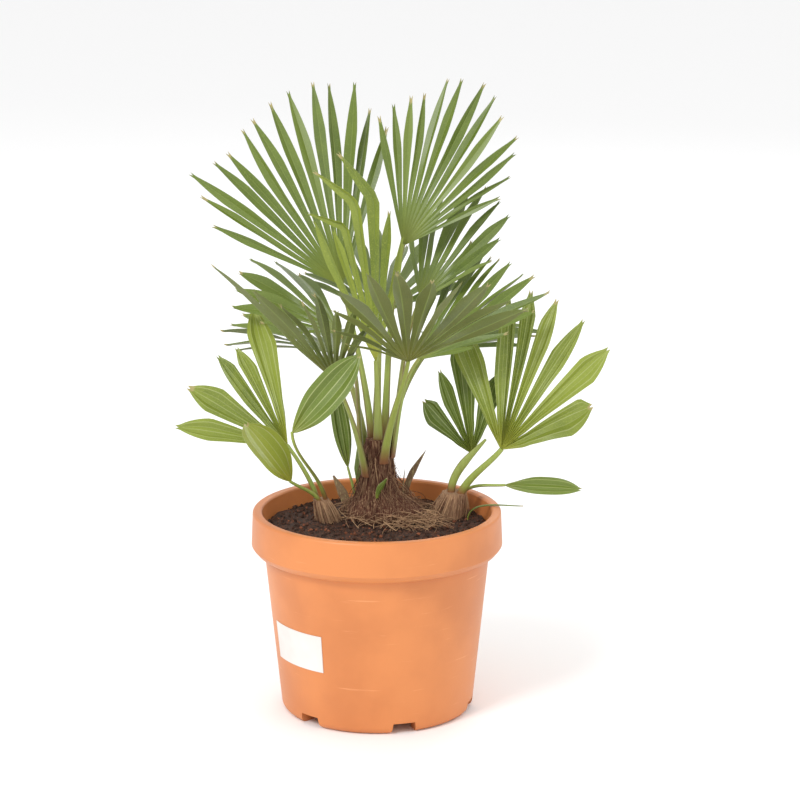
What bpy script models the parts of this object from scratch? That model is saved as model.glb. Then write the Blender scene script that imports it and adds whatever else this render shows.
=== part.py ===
"""Young european fan palm in a round nursery pot: a fibrous trunk with eleven fan
fronds and two suckers with their own fronds.

Units are metres, +Z is up, the pot's axis is the Z axis and the pot stands on z = 0.
+X is to the right and -Y towards the viewer of the plant's front.
"""

import math
import random

import bpy
from mathutils import Vector

# Gap between pieces that touch
GAP = 0.0003

# Pot, outside
POT_HEIGHT = 0.156
POT_SIDES = 48
FOOT_RADIUS = 0.0680
FOOT_BEVEL = 0.0035
WALL_LOW_RADIUS = 0.0740
WALL_LOW_Z = 0.0060
WALL_TOP_RADIUS = 0.0862
COLLAR_LOW_Z = 0.1240
COLLAR_LOW_RADIUS = 0.0885
COLLAR_RADIUS = 0.0960
COLLAR_EDGE_Z = 0.1300
COLLAR_UNDER_RISE = 0.0002
COLLAR_ROUND_IN = 0.0012
COLLAR_ROUND_DROP = 0.0018
RIM_RADIUS = 0.0950
RIM_ROUND = 0.0022
LIP_RADIUS = 0.0875

# Pot, inside and underneath
WALL_THICKNESS = 0.0022
INNER_STEP_Z = 0.1290
INNER_STEP_DROP = 0.0040
FLOOR_UNDER_Z = 0.0090
FLOOR_THICKNESS = 0.0022
FOOT_RING_WIDTH = 0.0080
CENTRE_FOOT_RADIUS = 0.0160
CENTRE_FOOT_SIDES = 24
FLOOR_EYE_RADIUS = 0.0040
NOTCH_COUNT = 6
NOTCH_WIDTH = 0.0200
NOTCH_HEIGHT = 0.0085
NOTCH_TURN = math.radians(-74.0)
NOTCH_TOP_SHARE = 0.85
DRAIN_RADIUS = 0.0050
DRAIN_SIDES = 16
DRAIN_RING_RADIUS = 0.0430
CUTTER_OVERRUN = 0.0020

# Soil
SOIL_Z = 0.1427
SOIL_CLEARANCE = 0.00045
SOIL_SIDES = 40
SOIL_RINGS = 6
SOIL_LUMP = 0.0020
SOIL_FLAT_RADIUS = 0.066
SOIL_EDGE_DROP = 0.0010

# Trunk: flat foot on the soil, wide fibrous flare, short tapering stem
TRUNK_BASE_Z = SOIL_Z + GAP
TRUNK_TOP = Vector((0.0010, 0.0220, 0.2060))
FLARE_CENTRE = Vector((0.0070, 0.0260))
TRUNK_SIDES = 24
TRUNK_LUMP = 0.04
FLARE_STEPS = 400
# height above the foot, half width along X, half width along Y, lean from flare to axis
TRUNK_RINGS = (
    (0.000, 0.0310, 0.0250, 0.0),
    (0.006, 0.0305, 0.0245, 0.1),
    (0.012, 0.0250, 0.0205, 0.4),
    (0.018, 0.0180, 0.0160, 0.8),
    (0.026, 0.0135, 0.0130, 1.0),
    (0.040, 0.0118, 0.0116, 1.0),
    (0.054, 0.0105, 0.0104, 1.0),
)
TRUNK_TOP_RADIUS = 0.0096

# Blades: fold is the rise of a leaflet's edges per half width, belly and shoulder are
# shares of its length, neck is its width at the hub as a share of the widest
BLADE_THICKNESS = 0.0016
FOLD = 0.26
BELLY = 0.50
SHOULDER = 0.78
NECK = 0.35
TIP_POWER = 1.7
FAN_ROWS = (BELLY, SHOULDER)
LONE_LEAF_ROWS = (0.25, BELLY, SHOULDER, 0.93)
LEAFLET_FIT = 0.98
NEIGHBOUR_ROOM = 0.96
LENGTH_SPREAD = (0.97, 1.02)
ANGLE_SPREAD = 0.12

# Petioles: half sizes at foot, middle and hub of a crown petiole, lean away from the
# trunk's axis, and how far the curve's middle knots stand from its ends
PETIOLE_SIDES = 6
PETIOLE_RINGS = 7
PETIOLE_WIDTHS = (0.0030, 0.0021, 0.0017)
PETIOLE_DEPTHS = (0.0017, 0.0015, 0.0013)
SIDE_LEAN = 0.18
TOP_LEAN = 0.10
FOOT_KNOT = 0.33
HUB_KNOT = 0.30
HUB_CLEARANCE = 0.0007
CURVE_STEP = 0.02

# Shares of the blade's own direction in the way a petiole comes into its hub
CROWN_TURN_IN = 0.55
SHOOT_TURN_IN = 0.30
SHOOT_LIFT = 0.80
SHOOT_DEPTH_SHARES = (0.7, 0.8)

# Small pieces: rise of the curve as a share of the piece's length
BIT_LIFT = 0.35
BIT_BEND = 0.62
BIT_BEND_LIFT = 0.25

# Sucker stems
STEM_SIDES = 16
STEM_ROWS = (0.0, 0.5, 1.0)

# Colours
TERRACOTTA = (0.80, 0.30, 0.12)
SOIL_BROWN = (0.035, 0.018, 0.010)
FIBRE_BROWN = (0.16, 0.075, 0.035)
DRY_BROWN = (0.20, 0.11, 0.055)
LEAF_TOP = (0.15, 0.25, 0.045)
LEAF_UNDER = (0.20, 0.25, 0.11)
LEAF_YOUNG = (0.30, 0.46, 0.06)
PETIOLE_GREEN = (0.22, 0.34, 0.07)
PETIOLE_YELLOW = (0.50, 0.50, 0.08)

# Crown fronds. hub: where the leaflets meet. aim: way of the middle leaflet.
# face: way the upper side looks. sweep: angles of the first and the last leaflet.
# lengths: leaflet lengths at even steps of the sweep. split: share of the length that is
# joined to the neighbours. sag: fall of the tips.
# base: compass angle where the petiole leaves the trunk's side and its height, or None
# for the three that rise from the trunk's top at their seat.
CROWN = {
    "left_high": dict(
        hub=(-0.0265, 0.0550, 0.3190), aim=(-0.32, 0.24, 0.92), face=(0.10, -0.95, 0.29),
        sweep=(-46, 35), leaflets=14,
        lengths=(0.112, 0.146, 0.138, 0.141, 0.156, 0.161, 0.156, 0.128),
        split=0.40, sag=0.0, base=None, seat=(-0.0048, 0.0045), seed=3, tint=LEAF_TOP),
    "right_high": dict(
        hub=(0.0205, 0.0600, 0.3490), aim=(0.40, 0.18, 0.90), face=(-0.10, -0.96, 0.24),
        sweep=(-34, 40), leaflets=13, lengths=(0.102, 0.123, 0.141, 0.124, 0.084), split=0.45,
        sag=0.0, base=None, seat=(0.0045, 0.0045), seed=5, tint=LEAF_TOP),
    "spear": dict(
        hub=(-0.0005, 0.0180, 0.2665), aim=(-0.08, 0.10, 0.99), face=(0.0, -0.99, 0.10),
        sweep=(-19, 16), leaflets=7, lengths=(0.120, 0.104, 0.122, 0.126, 0.100), split=0.50,
        sag=0.0, base=None, seat=(0.0, -0.0040), seed=8, tint=LEAF_YOUNG),
    "front": dict(
        hub=(0.0234, -0.0260, 0.2767), aim=(0.0, -0.77, 0.64), face=(0.0, 0.64, 0.77),
        sweep=(-45, 52), leaflets=11, lengths=(0.118, 0.134, 0.150, 0.118, 0.058), split=0.40,
        sag=0.0, base=(292, 0.1930), seed=13, tint=LEAF_UNDER),
    "right_low": dict(
        hub=(0.0316, 0.0220, 0.2675), aim=(0.85, -0.08, 0.52), face=(-0.51, -0.41, 0.76),
        sweep=(-58, 26), leaflets=11, lengths=(0.132, 0.102, 0.108, 0.114, 0.050), split=0.42,
        sag=0.0, base=(342, 0.1960), seed=21, tint=LEAF_TOP),
    "left_low": dict(
        hub=(-0.0314, 0.0020, 0.2555), aim=(-0.54, -0.38, 0.75), face=(0.30, 0.745, 0.60),
        sweep=(-54, 8), leaflets=8, lengths=(0.084, 0.092, 0.093, 0.094, 0.136), split=0.48,
        sag=0.0, base=(222, 0.1820), seed=34, tint=LEAF_UNDER),
    "left_back": dict(
        hub=(-0.0280, 0.0640, 0.2790), aim=(-0.86, 0.20, 0.46), face=(0.35, -0.45, 0.82),
        sweep=(-36, 44), leaflets=8, lengths=(0.040, 0.088, 0.100, 0.112, 0.090), split=0.42,
        sag=0.12, base=(166, 0.1900), seed=55, tint=LEAF_TOP),
    "right_back": dict(
        hub=(0.0335, 0.0550, 0.3076), aim=(0.60, 0.28, 0.75), face=(-0.45, -0.65, 0.60),
        sweep=(-48, 30), leaflets=9, lengths=(0.080, 0.100, 0.112, 0.100, 0.066), split=0.42,
        sag=0.05, base=(24, 0.1980), seed=89, tint=LEAF_TOP),
    "back_left": dict(
        hub=(-0.0330, 0.0900, 0.2580), aim=(-0.62, 0.75, 0.24), face=(0.15, -0.16, 0.97),
        sweep=(-46, 46), leaflets=10, lengths=(0.080, 0.104, 0.114, 0.104, 0.080), split=0.42,
        sag=0.10, base=(130, 0.1880), seed=144, tint=LEAF_TOP),
    "back_right": dict(
        hub=(0.0400, 0.0850, 0.2600), aim=(0.70, 0.68, 0.22), face=(-0.15, -0.16, 0.97),
        sweep=(-46, 46), leaflets=10, lengths=(0.080, 0.104, 0.114, 0.104, 0.080), split=0.42,
        sag=0.10, base=(60, 0.1880), seed=233, tint=LEAF_TOP),
    "back": dict(
        hub=(0.0030, 0.0850, 0.2900), aim=(0.02, 0.86, 0.50), face=(0.0, -0.50, 0.86),
        sweep=(-52, 52), leaflets=11, lengths=(0.084, 0.106, 0.118, 0.106, 0.084), split=0.42,
        sag=0.10, base=(95, 0.1940), seed=377, tint=LEAF_TOP),
}

# Sucker stems: foot centre, top centre, radius at the foot and at the top
SUCKERS = {
    "left_sucker": dict(foot=(-0.0370, 0.0130), top=(-0.0430, 0.0140, 0.1600), radii=(0.0076, 0.0064)),
    "right_sucker": dict(foot=(0.0540, 0.0240), top=(0.0600, 0.0270, 0.1620), radii=(0.0125, 0.0098)),
}

# Sucker fronds. lobes: angle, length and width of each. seat: where the petiole stands
# on its stem's top, from the centre, or on the trunk's flare, from the trunk's axis.
# petiole: half width at its foot and at its end.
SHOOTS = {
    "left_sucker_fan": dict(
        stem="left_sucker", seat=(-0.0030, 0.0022), hub=(-0.0679, 0.0120, 0.2026),
        aim=(-0.76, 0.23, 0.61), face=(0.25, -0.76, 0.60),
        lobes=((-33, 0.088, 0.016), (-12, 0.089, 0.020), (13, 0.090, 0.013), (23, 0.088, 0.013),
               (37, 0.122, 0.019)),
        split=0.20, sag=0.0, petiole=(0.0022, 0.0014), tint=LEAF_TOP),
    "left_sucker_front": dict(
        stem="left_sucker", seat=(-0.0010, -0.0037), hub=(-0.0653, -0.0040, 0.1784),
        aim=(-0.55, -0.50, 0.65), face=(-0.25, 0.80, 0.50),
        lobes=((-10, 0.078, 0.027),),
        split=0.06, sag=0.0, petiole=(0.0018, 0.0012), tint=LEAF_UNDER),
    "left_sucker_lens": dict(
        stem="left_sucker", seat=(0.0036, -0.0006), hub=(-0.0633, -0.0320, 0.2236),
        aim=(0.64, 0.0, 0.77), face=(0.0, -1.0, 0.0),
        lobes=((2, 0.078, 0.026),),
        split=0.06, sag=0.0, petiole=(0.0020, 0.0012), tint=LEAF_TOP),
    "trunk_shoot": dict(
        stem=None, seat=(-0.0180, 0.0130), hub=(-0.0224, 0.0400, 0.1777),
        aim=(-0.20, 0.10, 1.0), face=(0.30, -0.90, 0.30),
        lobes=((4, 0.062, 0.014),),
        split=0.06, sag=0.0, petiole=(0.0012, 0.0010), tint=LEAF_TOP),
    "right_sucker_fan": dict(
        stem="right_sucker", seat=(0.0046, -0.0046), hub=(0.0949, 0.0100, 0.1996),
        aim=(0.51, 0.27, 0.80), face=(-0.12, -0.90, 0.42),
        lobes=((-49, 0.112, 0.018), (-27, 0.119, 0.014), (-19, 0.127, 0.014), (-11, 0.126, 0.013),
               (1, 0.121, 0.013), (15, 0.115, 0.020), (32, 0.078, 0.030)),
        split=0.18, sag=0.0, petiole=(0.0032, 0.0019), tint=LEAF_YOUNG),
    "right_sucker_rear": dict(
        stem="right_sucker", seat=(-0.0042, 0.0052), hub=(0.0738, 0.0420, 0.1882),
        aim=(-0.07, 0.33, 0.95), face=(-0.10, -0.95, 0.30),
        lobes=((-37, 0.057, 0.017), (-17, 0.071, 0.010), (-3, 0.094, 0.015), (23, 0.066, 0.014)),
        split=0.20, sag=0.0, petiole=(0.0016, 0.0010), tint=LEAF_TOP),
    "right_sucker_low": dict(
        stem="right_sucker", seat=(0.0072, 0.0022), hub=(0.0980, 0.0200, 0.1690),
        aim=(0.98, -0.12, 0.0), face=(0.0, -0.55, 0.83),
        lobes=((0, 0.060, 0.016),),
        split=0.06, sag=0.0, petiole=(0.0016, 0.0011), tint=LEAF_TOP),
}

# Small single pieces. stem: what they stand on, or None for the trunk's flare. seat: as
# above. tip: where they end. widths and depths: half sizes at the foot, middle and tip.
SMALL_BITS = {
    "right_sucker_sheath": dict(
        stem="right_sucker", seat=(-0.0026, -0.0008), tip=(0.0840, 0.0260, 0.2040),
        widths=(0.0030, 0.0034, 0.0010), depths=(0.0020, 0.0018, 0.0006), tint=PETIOLE_GREEN),
    "right_sucker_grass": dict(
        stem=None, seat=(0.0690, -0.0060), tip=(0.1115, -0.0040, 0.1590),
        widths=(0.0012, 0.0014, 0.0004), depths=(0.0007, 0.0006, 0.0004), tint=LEAF_TOP),
    "dead_sheath_right": dict(
        stem=None, seat=(0.0215, 0.0170), tip=(0.0383, 0.0500, 0.1894),
        widths=(0.0024, 0.0036, 0.0005), depths=(0.0012, 0.0010, 0.0005), tint=DRY_BROWN),
    "dead_spike": dict(
        stem=None, seat=(0.0190, 0.0000), tip=(0.0217, 0.0200, 0.1829),
        widths=(0.0010, 0.0008, 0.0004), depths=(0.0008, 0.0006, 0.0004), tint=DRY_BROWN),
    "dead_sheath_left": dict(
        stem=None, seat=(-0.0240, 0.0200), tip=(-0.0340, 0.0520, 0.1683),
        widths=(0.0030, 0.0055, 0.0030), depths=(0.0010, 0.0009, 0.0006), tint=DRY_BROWN),
    "dark_leaf": dict(
        stem=None, seat=(-0.0140, 0.0140), tip=(-0.0146, 0.0400, 0.1961),
        widths=(0.0018, 0.0042, 0.0005), depths=(0.0009, 0.0008, 0.0004), tint=LEAF_TOP),
    "tiny_leaf": dict(
        stem=None, seat=(-0.0010, -0.0155), tip=(0.0077, 0.0030, 0.1792),
        widths=(0.0010, 0.0026, 0.0005), depths=(0.0008, 0.0008, 0.0004), tint=LEAF_YOUNG),
}


def clear_scene():
    """Remove every object that the file starts with."""
    for thing in list(bpy.data.objects):
        bpy.data.objects.remove(thing, do_unlink=True)


def material(name, colour, roughness):
    """A Principled material of one colour."""
    made = bpy.data.materials.get(name)
    if made is None:
        made = bpy.data.materials.new(name)
        made.use_nodes = True
        shader = made.node_tree.nodes["Principled BSDF"]
        shader.inputs["Base Color"].default_value = (*colour, 1.0)
        shader.inputs["Roughness"].default_value = roughness
        shader.inputs["Metallic"].default_value = 0.0
        made.diffuse_color = (*colour, 1.0)
    return made


def add_object(name, points, faces, finish, smooth_angle=None):
    """A mesh object from points and faces, shaded smooth below an angle if one is given."""
    mesh = bpy.data.meshes.new(name)
    mesh.from_pydata([tuple(p) for p in points], [], faces)
    mesh.update()
    if smooth_angle is not None:
        mesh.shade_smooth()
        mesh.set_sharp_from_angle(angle=math.radians(smooth_angle))
    thing = bpy.data.objects.new(name, mesh)
    thing.data.materials.append(finish)
    bpy.context.scene.collection.objects.link(thing)
    return thing


def rings_to_solid(rings):
    """Points and faces of a closed body through equal rings, with a flat cap at each end."""
    sides = len(rings[0])
    points = [point for ring in rings for point in ring]
    faces = []
    for row in range(len(rings) - 1):
        for side in range(sides):
            here = row * sides + side
            beside = row * sides + (side + 1) % sides
            faces.append((here, beside, beside + sides, here + sides))
    faces.append(tuple(reversed(range(sides))))
    last = (len(rings) - 1) * sides
    faces.append(tuple(range(last, last + sides)))
    return points, faces


def turned(name, profile, sides, finish):
    """A body turned about Z from a closed profile of (radius, z), outer side going up."""
    points = []
    for radius, z in profile:
        for side in range(sides):
            angle = 2 * math.pi * side / sides
            points.append((radius * math.cos(angle), radius * math.sin(angle), z))
    faces = []
    for row in range(len(profile)):
        after = (row + 1) % len(profile)
        for side in range(sides):
            beside = (side + 1) % sides
            faces.append((row * sides + side, row * sides + beside,
                          after * sides + beside, after * sides + side))
    return add_object(name, points, faces, finish, smooth_angle=35)


def disc_solid(name, radius, low, high, sides, finish, centre=(0.0, 0.0)):
    """An upright round bar between two heights."""
    rings = []
    for z in (low, high):
        rings.append([(centre[0] + radius * math.cos(2 * math.pi * k / sides),
                       centre[1] + radius * math.sin(2 * math.pi * k / sides), z)
                      for k in range(sides)])
    points, faces = rings_to_solid(rings)
    return add_object(name, points, faces, finish, smooth_angle=35)


def arc(centre, radius, start, end, steps):
    """Points of (radius, z) on an arc about a centre, angles in degrees."""
    points = []
    for step in range(steps + 1):
        angle = math.radians(start + (end - start) * step / steps)
        points.append((centre[0] + radius * math.cos(angle), centre[1] + radius * math.sin(angle)))
    return points


def inner_radius(z):
    """Radius of the pot's inner wall at a height."""
    if z >= INNER_STEP_Z:
        return LIP_RADIUS - WALL_THICKNESS * 0.5 * (POT_HEIGHT - z) / (POT_HEIGHT - INNER_STEP_Z)
    slope = (WALL_TOP_RADIUS - WALL_LOW_RADIUS) / (COLLAR_LOW_Z - WALL_LOW_Z)
    return WALL_LOW_RADIUS + slope * (z - WALL_LOW_Z) - WALL_THICKNESS


def build_pot():
    """Turned wall with a rounded rim and a collar, a raised floor with drain holes, a
    notched foot ring and a round foot at the centre."""
    plastic = material("terracotta_plastic", TERRACOTTA, 0.45)
    rim_centre = (RIM_RADIUS - RIM_ROUND, POT_HEIGHT - RIM_ROUND)
    lip_centre = (LIP_RADIUS + RIM_ROUND, POT_HEIGHT - RIM_ROUND)
    ring_inner = FOOT_RADIUS - FOOT_RING_WIDTH
    floor_top = FLOOR_UNDER_Z + FLOOR_THICKNESS
    step_low = INNER_STEP_Z - INNER_STEP_DROP
    profile = [
        (ring_inner, 0.0),
        (FOOT_RADIUS, 0.0),
        (FOOT_RADIUS + FOOT_BEVEL, 0.4 * FOOT_BEVEL),
        (WALL_LOW_RADIUS, WALL_LOW_Z),
        (WALL_TOP_RADIUS, COLLAR_LOW_Z),
        (COLLAR_LOW_RADIUS, COLLAR_LOW_Z + COLLAR_UNDER_RISE),
        (COLLAR_RADIUS - COLLAR_ROUND_IN, COLLAR_EDGE_Z - COLLAR_ROUND_DROP),
        (COLLAR_RADIUS, COLLAR_EDGE_Z),
    ]
    profile += arc(rim_centre, RIM_ROUND, 0, 90, 3)
    profile += arc(lip_centre, RIM_ROUND, 90, 180, 3)
    profile += [
        (inner_radius(INNER_STEP_Z), INNER_STEP_Z),
        (inner_radius(step_low), step_low),
        (inner_radius(floor_top), floor_top),
        (FLOOR_EYE_RADIUS, floor_top),
        (FLOOR_EYE_RADIUS, FLOOR_UNDER_Z),
        (ring_inner, FLOOR_UNDER_Z),
    ]
    pot = turned("pot", profile, POT_SIDES, plastic)
    foot = disc_solid("centre_foot", CENTRE_FOOT_RADIUS, 0.0, floor_top, CENTRE_FOOT_SIDES, plastic)
    fuse(pot, [foot])
    cutters = []
    for index in range(NOTCH_COUNT):
        turn = NOTCH_TURN + 2 * math.pi * index / NOTCH_COUNT
        cutters.append(notch_cutter(turn, plastic))
        hole_turn = turn + math.pi / NOTCH_COUNT
        centre = (DRAIN_RING_RADIUS * math.cos(hole_turn), DRAIN_RING_RADIUS * math.sin(hole_turn))
        cutters.append(disc_solid("drain", DRAIN_RADIUS, FLOOR_UNDER_Z - CUTTER_OVERRUN,
                                  floor_top + CUTTER_OVERRUN, DRAIN_SIDES, plastic, centre))
    cut(pot, cutters)
    return pot


def notch_cutter(turn, finish):
    """A block with sloped ends that cuts a drain notch through the foot ring."""
    half = NOTCH_WIDTH / 2
    top_half = half * NOTCH_TOP_SHARE
    inner = FOOT_RADIUS - FOOT_RING_WIDTH - 2 * CUTTER_OVERRUN
    outer = WALL_LOW_RADIUS + 3 * CUTTER_OVERRUN
    outline = ((half, -CUTTER_OVERRUN), (top_half, NOTCH_HEIGHT), (-top_half, NOTCH_HEIGHT),
               (-half, -CUTTER_OVERRUN))
    rings = []
    for along in (inner, outer):
        rings.append([(along * math.cos(turn) - across * math.sin(turn),
                       along * math.sin(turn) + across * math.cos(turn), z)
                      for across, z in outline])
    points, faces = rings_to_solid(rings)
    return add_object("notch", points, faces, finish)


def apply_boolean(body, others, operation):
    """Apply one exact Boolean with a collection of other bodies, then remove them."""
    group = bpy.data.collections.new("boolean_parts")
    bpy.context.scene.collection.children.link(group)
    for other in others:
        bpy.context.scene.collection.objects.unlink(other)
        group.objects.link(other)
    step = body.modifiers.new(operation.lower(), "BOOLEAN")
    step.operation = operation
    step.solver = "EXACT"
    step.operand_type = "COLLECTION"
    step.collection = group
    graph = bpy.context.evaluated_depsgraph_get()
    result = bpy.data.meshes.new_from_object(body.evaluated_get(graph))
    body.modifiers.remove(step)
    body.data = result
    for other in others:
        bpy.data.objects.remove(other, do_unlink=True)
    bpy.data.collections.remove(group)


def fuse(body, others):
    """Join bodies into one."""
    apply_boolean(body, others, "UNION")


def cut(body, others):
    """Cut bodies out of one."""
    apply_boolean(body, others, "DIFFERENCE")


def build_soil():
    """A round plug of soil that fills the pot, with a lumpy top that is flat under the plant."""
    earth = material("soil", SOIL_BROWN, 0.95)
    lumps = random.Random(11)
    floor = FLOOR_UNDER_Z + FLOOR_THICKNESS + GAP
    rings = []
    flat_share = math.cos(math.pi / POT_SIDES)
    for z in (floor, INNER_STEP_Z - 1.5 * INNER_STEP_DROP, SOIL_Z - SOIL_EDGE_DROP):
        radius = (inner_radius(z) - SOIL_CLEARANCE) * flat_share
        rings.append([(radius * math.cos(2 * math.pi * k / SOIL_SIDES),
                       radius * math.sin(2 * math.pi * k / SOIL_SIDES), z)
                      for k in range(SOIL_SIDES)])
    edge = (inner_radius(SOIL_Z) - SOIL_CLEARANCE) * flat_share
    for ring in range(1, SOIL_RINGS):
        radius = edge * (1 - ring / SOIL_RINGS)
        loop = []
        for k in range(SOIL_SIDES):
            angle = 2 * math.pi * k / SOIL_SIDES
            lump = lumps.uniform(-1, 0) * SOIL_LUMP if radius > SOIL_FLAT_RADIUS else 0.0
            loop.append((radius * math.cos(angle), radius * math.sin(angle), SOIL_Z + lump))
        rings.append(loop)
    points, faces = rings_to_solid(rings)
    return add_object("soil", points, faces, earth, smooth_angle=50)


def trunk_section(height):
    """Centre and half widths of the trunk's oval section at a height above its foot."""
    rows = list(TRUNK_RINGS)
    rows.append((TRUNK_TOP.z - TRUNK_BASE_Z, TRUNK_TOP_RADIUS, TRUNK_TOP_RADIUS, 1.0))
    for low, high in zip(rows, rows[1:]):
        if height <= high[0] or high is rows[-1]:
            share = min(1.0, (height - low[0]) / (high[0] - low[0]))
            _, half_x, half_y, lean = [a + (b - a) * share for a, b in zip(low, high)]
            centre_x = FLARE_CENTRE.x + (TRUNK_TOP.x - FLARE_CENTRE.x) * lean
            centre_y = FLARE_CENTRE.y + (TRUNK_TOP.y - FLARE_CENTRE.y) * lean
            return centre_x, centre_y, half_x, half_y


def flare_height(x, y):
    """Height of the trunk's surface over a point, as a Z coordinate, or the soil's."""
    top = TRUNK_TOP.z - TRUNK_BASE_Z
    found = SOIL_Z
    for step in range(FLARE_STEPS + 1):
        centre_x, centre_y, half_x, half_y = trunk_section(top * step / FLARE_STEPS)
        if ((x - centre_x) / half_x) ** 2 + ((y - centre_y) / half_y) ** 2 <= 1:
            found = TRUNK_BASE_Z + top * (step + 1) / FLARE_STEPS
    return found


def flare_seat(seat, reach):
    """Lowest clear place for a flat foot of a given half width on the trunk's flare."""
    x = TRUNK_TOP.x + seat[0]
    y = TRUNK_TOP.y + seat[1]
    heights = [flare_height(x, y)]
    for k in range(8):
        turn = k * math.pi / 4
        heights.append(flare_height(x + reach * math.cos(turn), y + reach * math.sin(turn)))
    return Vector((x, y, max(heights) + GAP))


def build_trunk():
    """Stacked rings from the wide lumpy flare on the soil to the flat top of the stem."""
    fibre = material("trunk_fibre", FIBRE_BROWN, 0.9)
    lumps = random.Random(7)
    levels = [(row[0], 1 - row[3]) for row in TRUNK_RINGS] + [(TRUNK_TOP.z - TRUNK_BASE_Z, 0.0)]
    rings = []
    for height, lumpy in levels:
        centre_x, centre_y, half_x, half_y = trunk_section(height)
        loop = []
        for k in range(TRUNK_SIDES):
            angle = 2 * math.pi * k / TRUNK_SIDES
            swell = 1 - TRUNK_LUMP * lumpy * lumps.random()
            loop.append((centre_x + half_x * swell * math.cos(angle),
                         centre_y + half_y * swell * math.sin(angle), TRUNK_BASE_Z + height))
        rings.append(loop)
    points, faces = rings_to_solid(rings)
    return add_object("trunk", points, faces, fibre, smooth_angle=50)


def build_sucker_stem(name, spec):
    """A short stem from a flat foot on the soil to a flat top."""
    fibre = material(name + "_fibre", FIBRE_BROWN, 0.9)
    foot = Vector((*spec["foot"], TRUNK_BASE_Z))
    top = Vector(spec["top"])
    rings = []
    for share in STEM_ROWS:
        centre = foot.lerp(top, share)
        radius = spec["radii"][0] + (spec["radii"][1] - spec["radii"][0]) * share
        rings.append([(centre.x + radius * math.cos(2 * math.pi * k / STEM_SIDES),
                       centre.y + radius * math.sin(2 * math.pi * k / STEM_SIDES), centre.z)
                      for k in range(STEM_SIDES)])
    points, faces = rings_to_solid(rings)
    return add_object(name + "_stem", points, faces, fibre, smooth_angle=50)


def blade_frame(spec):
    """Unit vectors of a blade: along the middle, to the side and out of the upper face."""
    normal = Vector(spec["face"]).normalized()
    along = Vector(spec["aim"])
    along = (along - normal * along.dot(normal)).normalized()
    return along, along.cross(normal), normal


def crown_lobes(spec):
    """Angle, length and width of each leaflet of a crown frond, by rule from its sweep."""
    chance = random.Random(spec["seed"])
    first, last = spec["sweep"]
    count = spec["leaflets"]
    step = (last - first) / (count - 1)
    lobes = []
    lengths = spec["lengths"]
    for index in range(count):
        place = index / (count - 1) * (len(lengths) - 1)
        low = min(int(place), len(lengths) - 2)
        length = lengths[low] + (lengths[low + 1] - lengths[low]) * (place - low)
        length *= chance.uniform(*LENGTH_SPREAD)
        angle = first + step * index + chance.uniform(-ANGLE_SPREAD, ANGLE_SPREAD) * step
        width = 2 * BELLY * length * math.tan(math.radians(step) / 2) * LEAFLET_FIT
        lobes.append((angle, length, width))
    return lobes


def outline_share(t):
    """Share of a leaflet's full width at a share of its length: widest at the belly."""
    if t <= BELLY:
        return NECK + (1 - NECK) * math.sin(math.pi / 2 * t / BELLY)
    return 1 - ((t - BELLY) / (1 - BELLY)) ** TIP_POWER


def blade_surface(spec, lobes):
    """Points, normals and faces of a pleated fan: one apex, a shared stretch out to the
    split between neighbours, then each leaflet's own belly, shoulder and tip."""
    along, side, normal = blade_frame(spec)
    hub = Vector(spec["hub"])
    angles = [math.radians(lobe[0]) for lobe in lobes]
    half_first = lobes[0][2] / 2 / (BELLY * lobes[0][1])
    half_last = lobes[-1][2] / 2 / (BELLY * lobes[-1][1])
    bounds = [angles[0] - half_first]
    bounds += [(a + b) / 2 for a, b in zip(angles, angles[1:])]
    bounds += [angles[-1] + half_last]
    lengths = [lobe[1] for lobe in lobes]
    beside = [lengths[0]] + [min(a, b) for a, b in zip(lengths, lengths[1:])] + [lengths[-1]]
    points = [hub]
    normals = [normal]

    def put(angle, radius, across, raised, length):
        way = along * math.cos(angle) + side * math.sin(angle)
        cross = side * math.cos(angle) - along * math.sin(angle)
        fall = Vector((0, 0, -spec["sag"] * radius * radius / length))
        points.append(hub + way * radius + cross * across + normal * raised + fall)
        normals.append(normal)
        return len(points) - 1

    splits = []
    for index, bound in enumerate(bounds):
        radius = spec["split"] * beside[index]
        nearest = min(abs(bound - angle) for angle in angles)
        splits.append(put(bound, radius, 0.0, FOLD * radius * math.sin(nearest), beside[index]))
    faces = []
    for index, (angle, (_, length, width)) in enumerate(zip(angles, lobes)):
        room_left = math.tan(angle - bounds[index]) * NEIGHBOUR_ROOM
        room_right = math.tan(bounds[index + 1] - angle) * NEIGHBOUR_ROOM
        left, right = splits[index], splits[index + 1]
        rib = put(angle, spec["split"] * length, 0.0, 0.0, length)
        faces += [(0, right, rib), (0, rib, left)]
        low = (left, rib, right)
        for t in FAN_ROWS if len(lobes) > 1 else LONE_LEAF_ROWS:
            radius = t * length
            half = width / 2 * outline_share(t)
            wide_left = min(half, radius * room_left)
            wide_right = min(half, radius * room_right)
            high = (put(angle, radius, -wide_left, FOLD * wide_left, length),
                    put(angle, radius, 0.0, 0.0, length),
                    put(angle, radius, wide_right, FOLD * wide_right, length))
            faces += [(low[0], low[1], high[1], high[0]), (low[1], low[2], high[2], high[1])]
            low = high
        tip = put(angle, length, 0.0, 0.0, length)
        faces += [(low[0], low[1], tip), (low[1], low[2], tip)]
    return points, normals, faces


def plate(name, points, normals, faces, thickness, finish):
    """A closed thin body: the surface moved half a thickness each way, with walls round it."""
    count = len(points)
    top = [p + n * (thickness / 2) for p, n in zip(points, normals)]
    under = [p - n * (thickness / 2) for p, n in zip(points, normals)]
    edges = set()
    for face in faces:
        for a, b in zip(face, face[1:] + face[:1]):
            edges.add((a, b))
    solid = list(faces)
    solid += [tuple(index + count for index in reversed(face)) for face in faces]
    solid += [(b, a, a + count, b + count) for a, b in sorted(edges) if (b, a) not in edges]
    return add_object(name, top + under, solid, finish)


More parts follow.
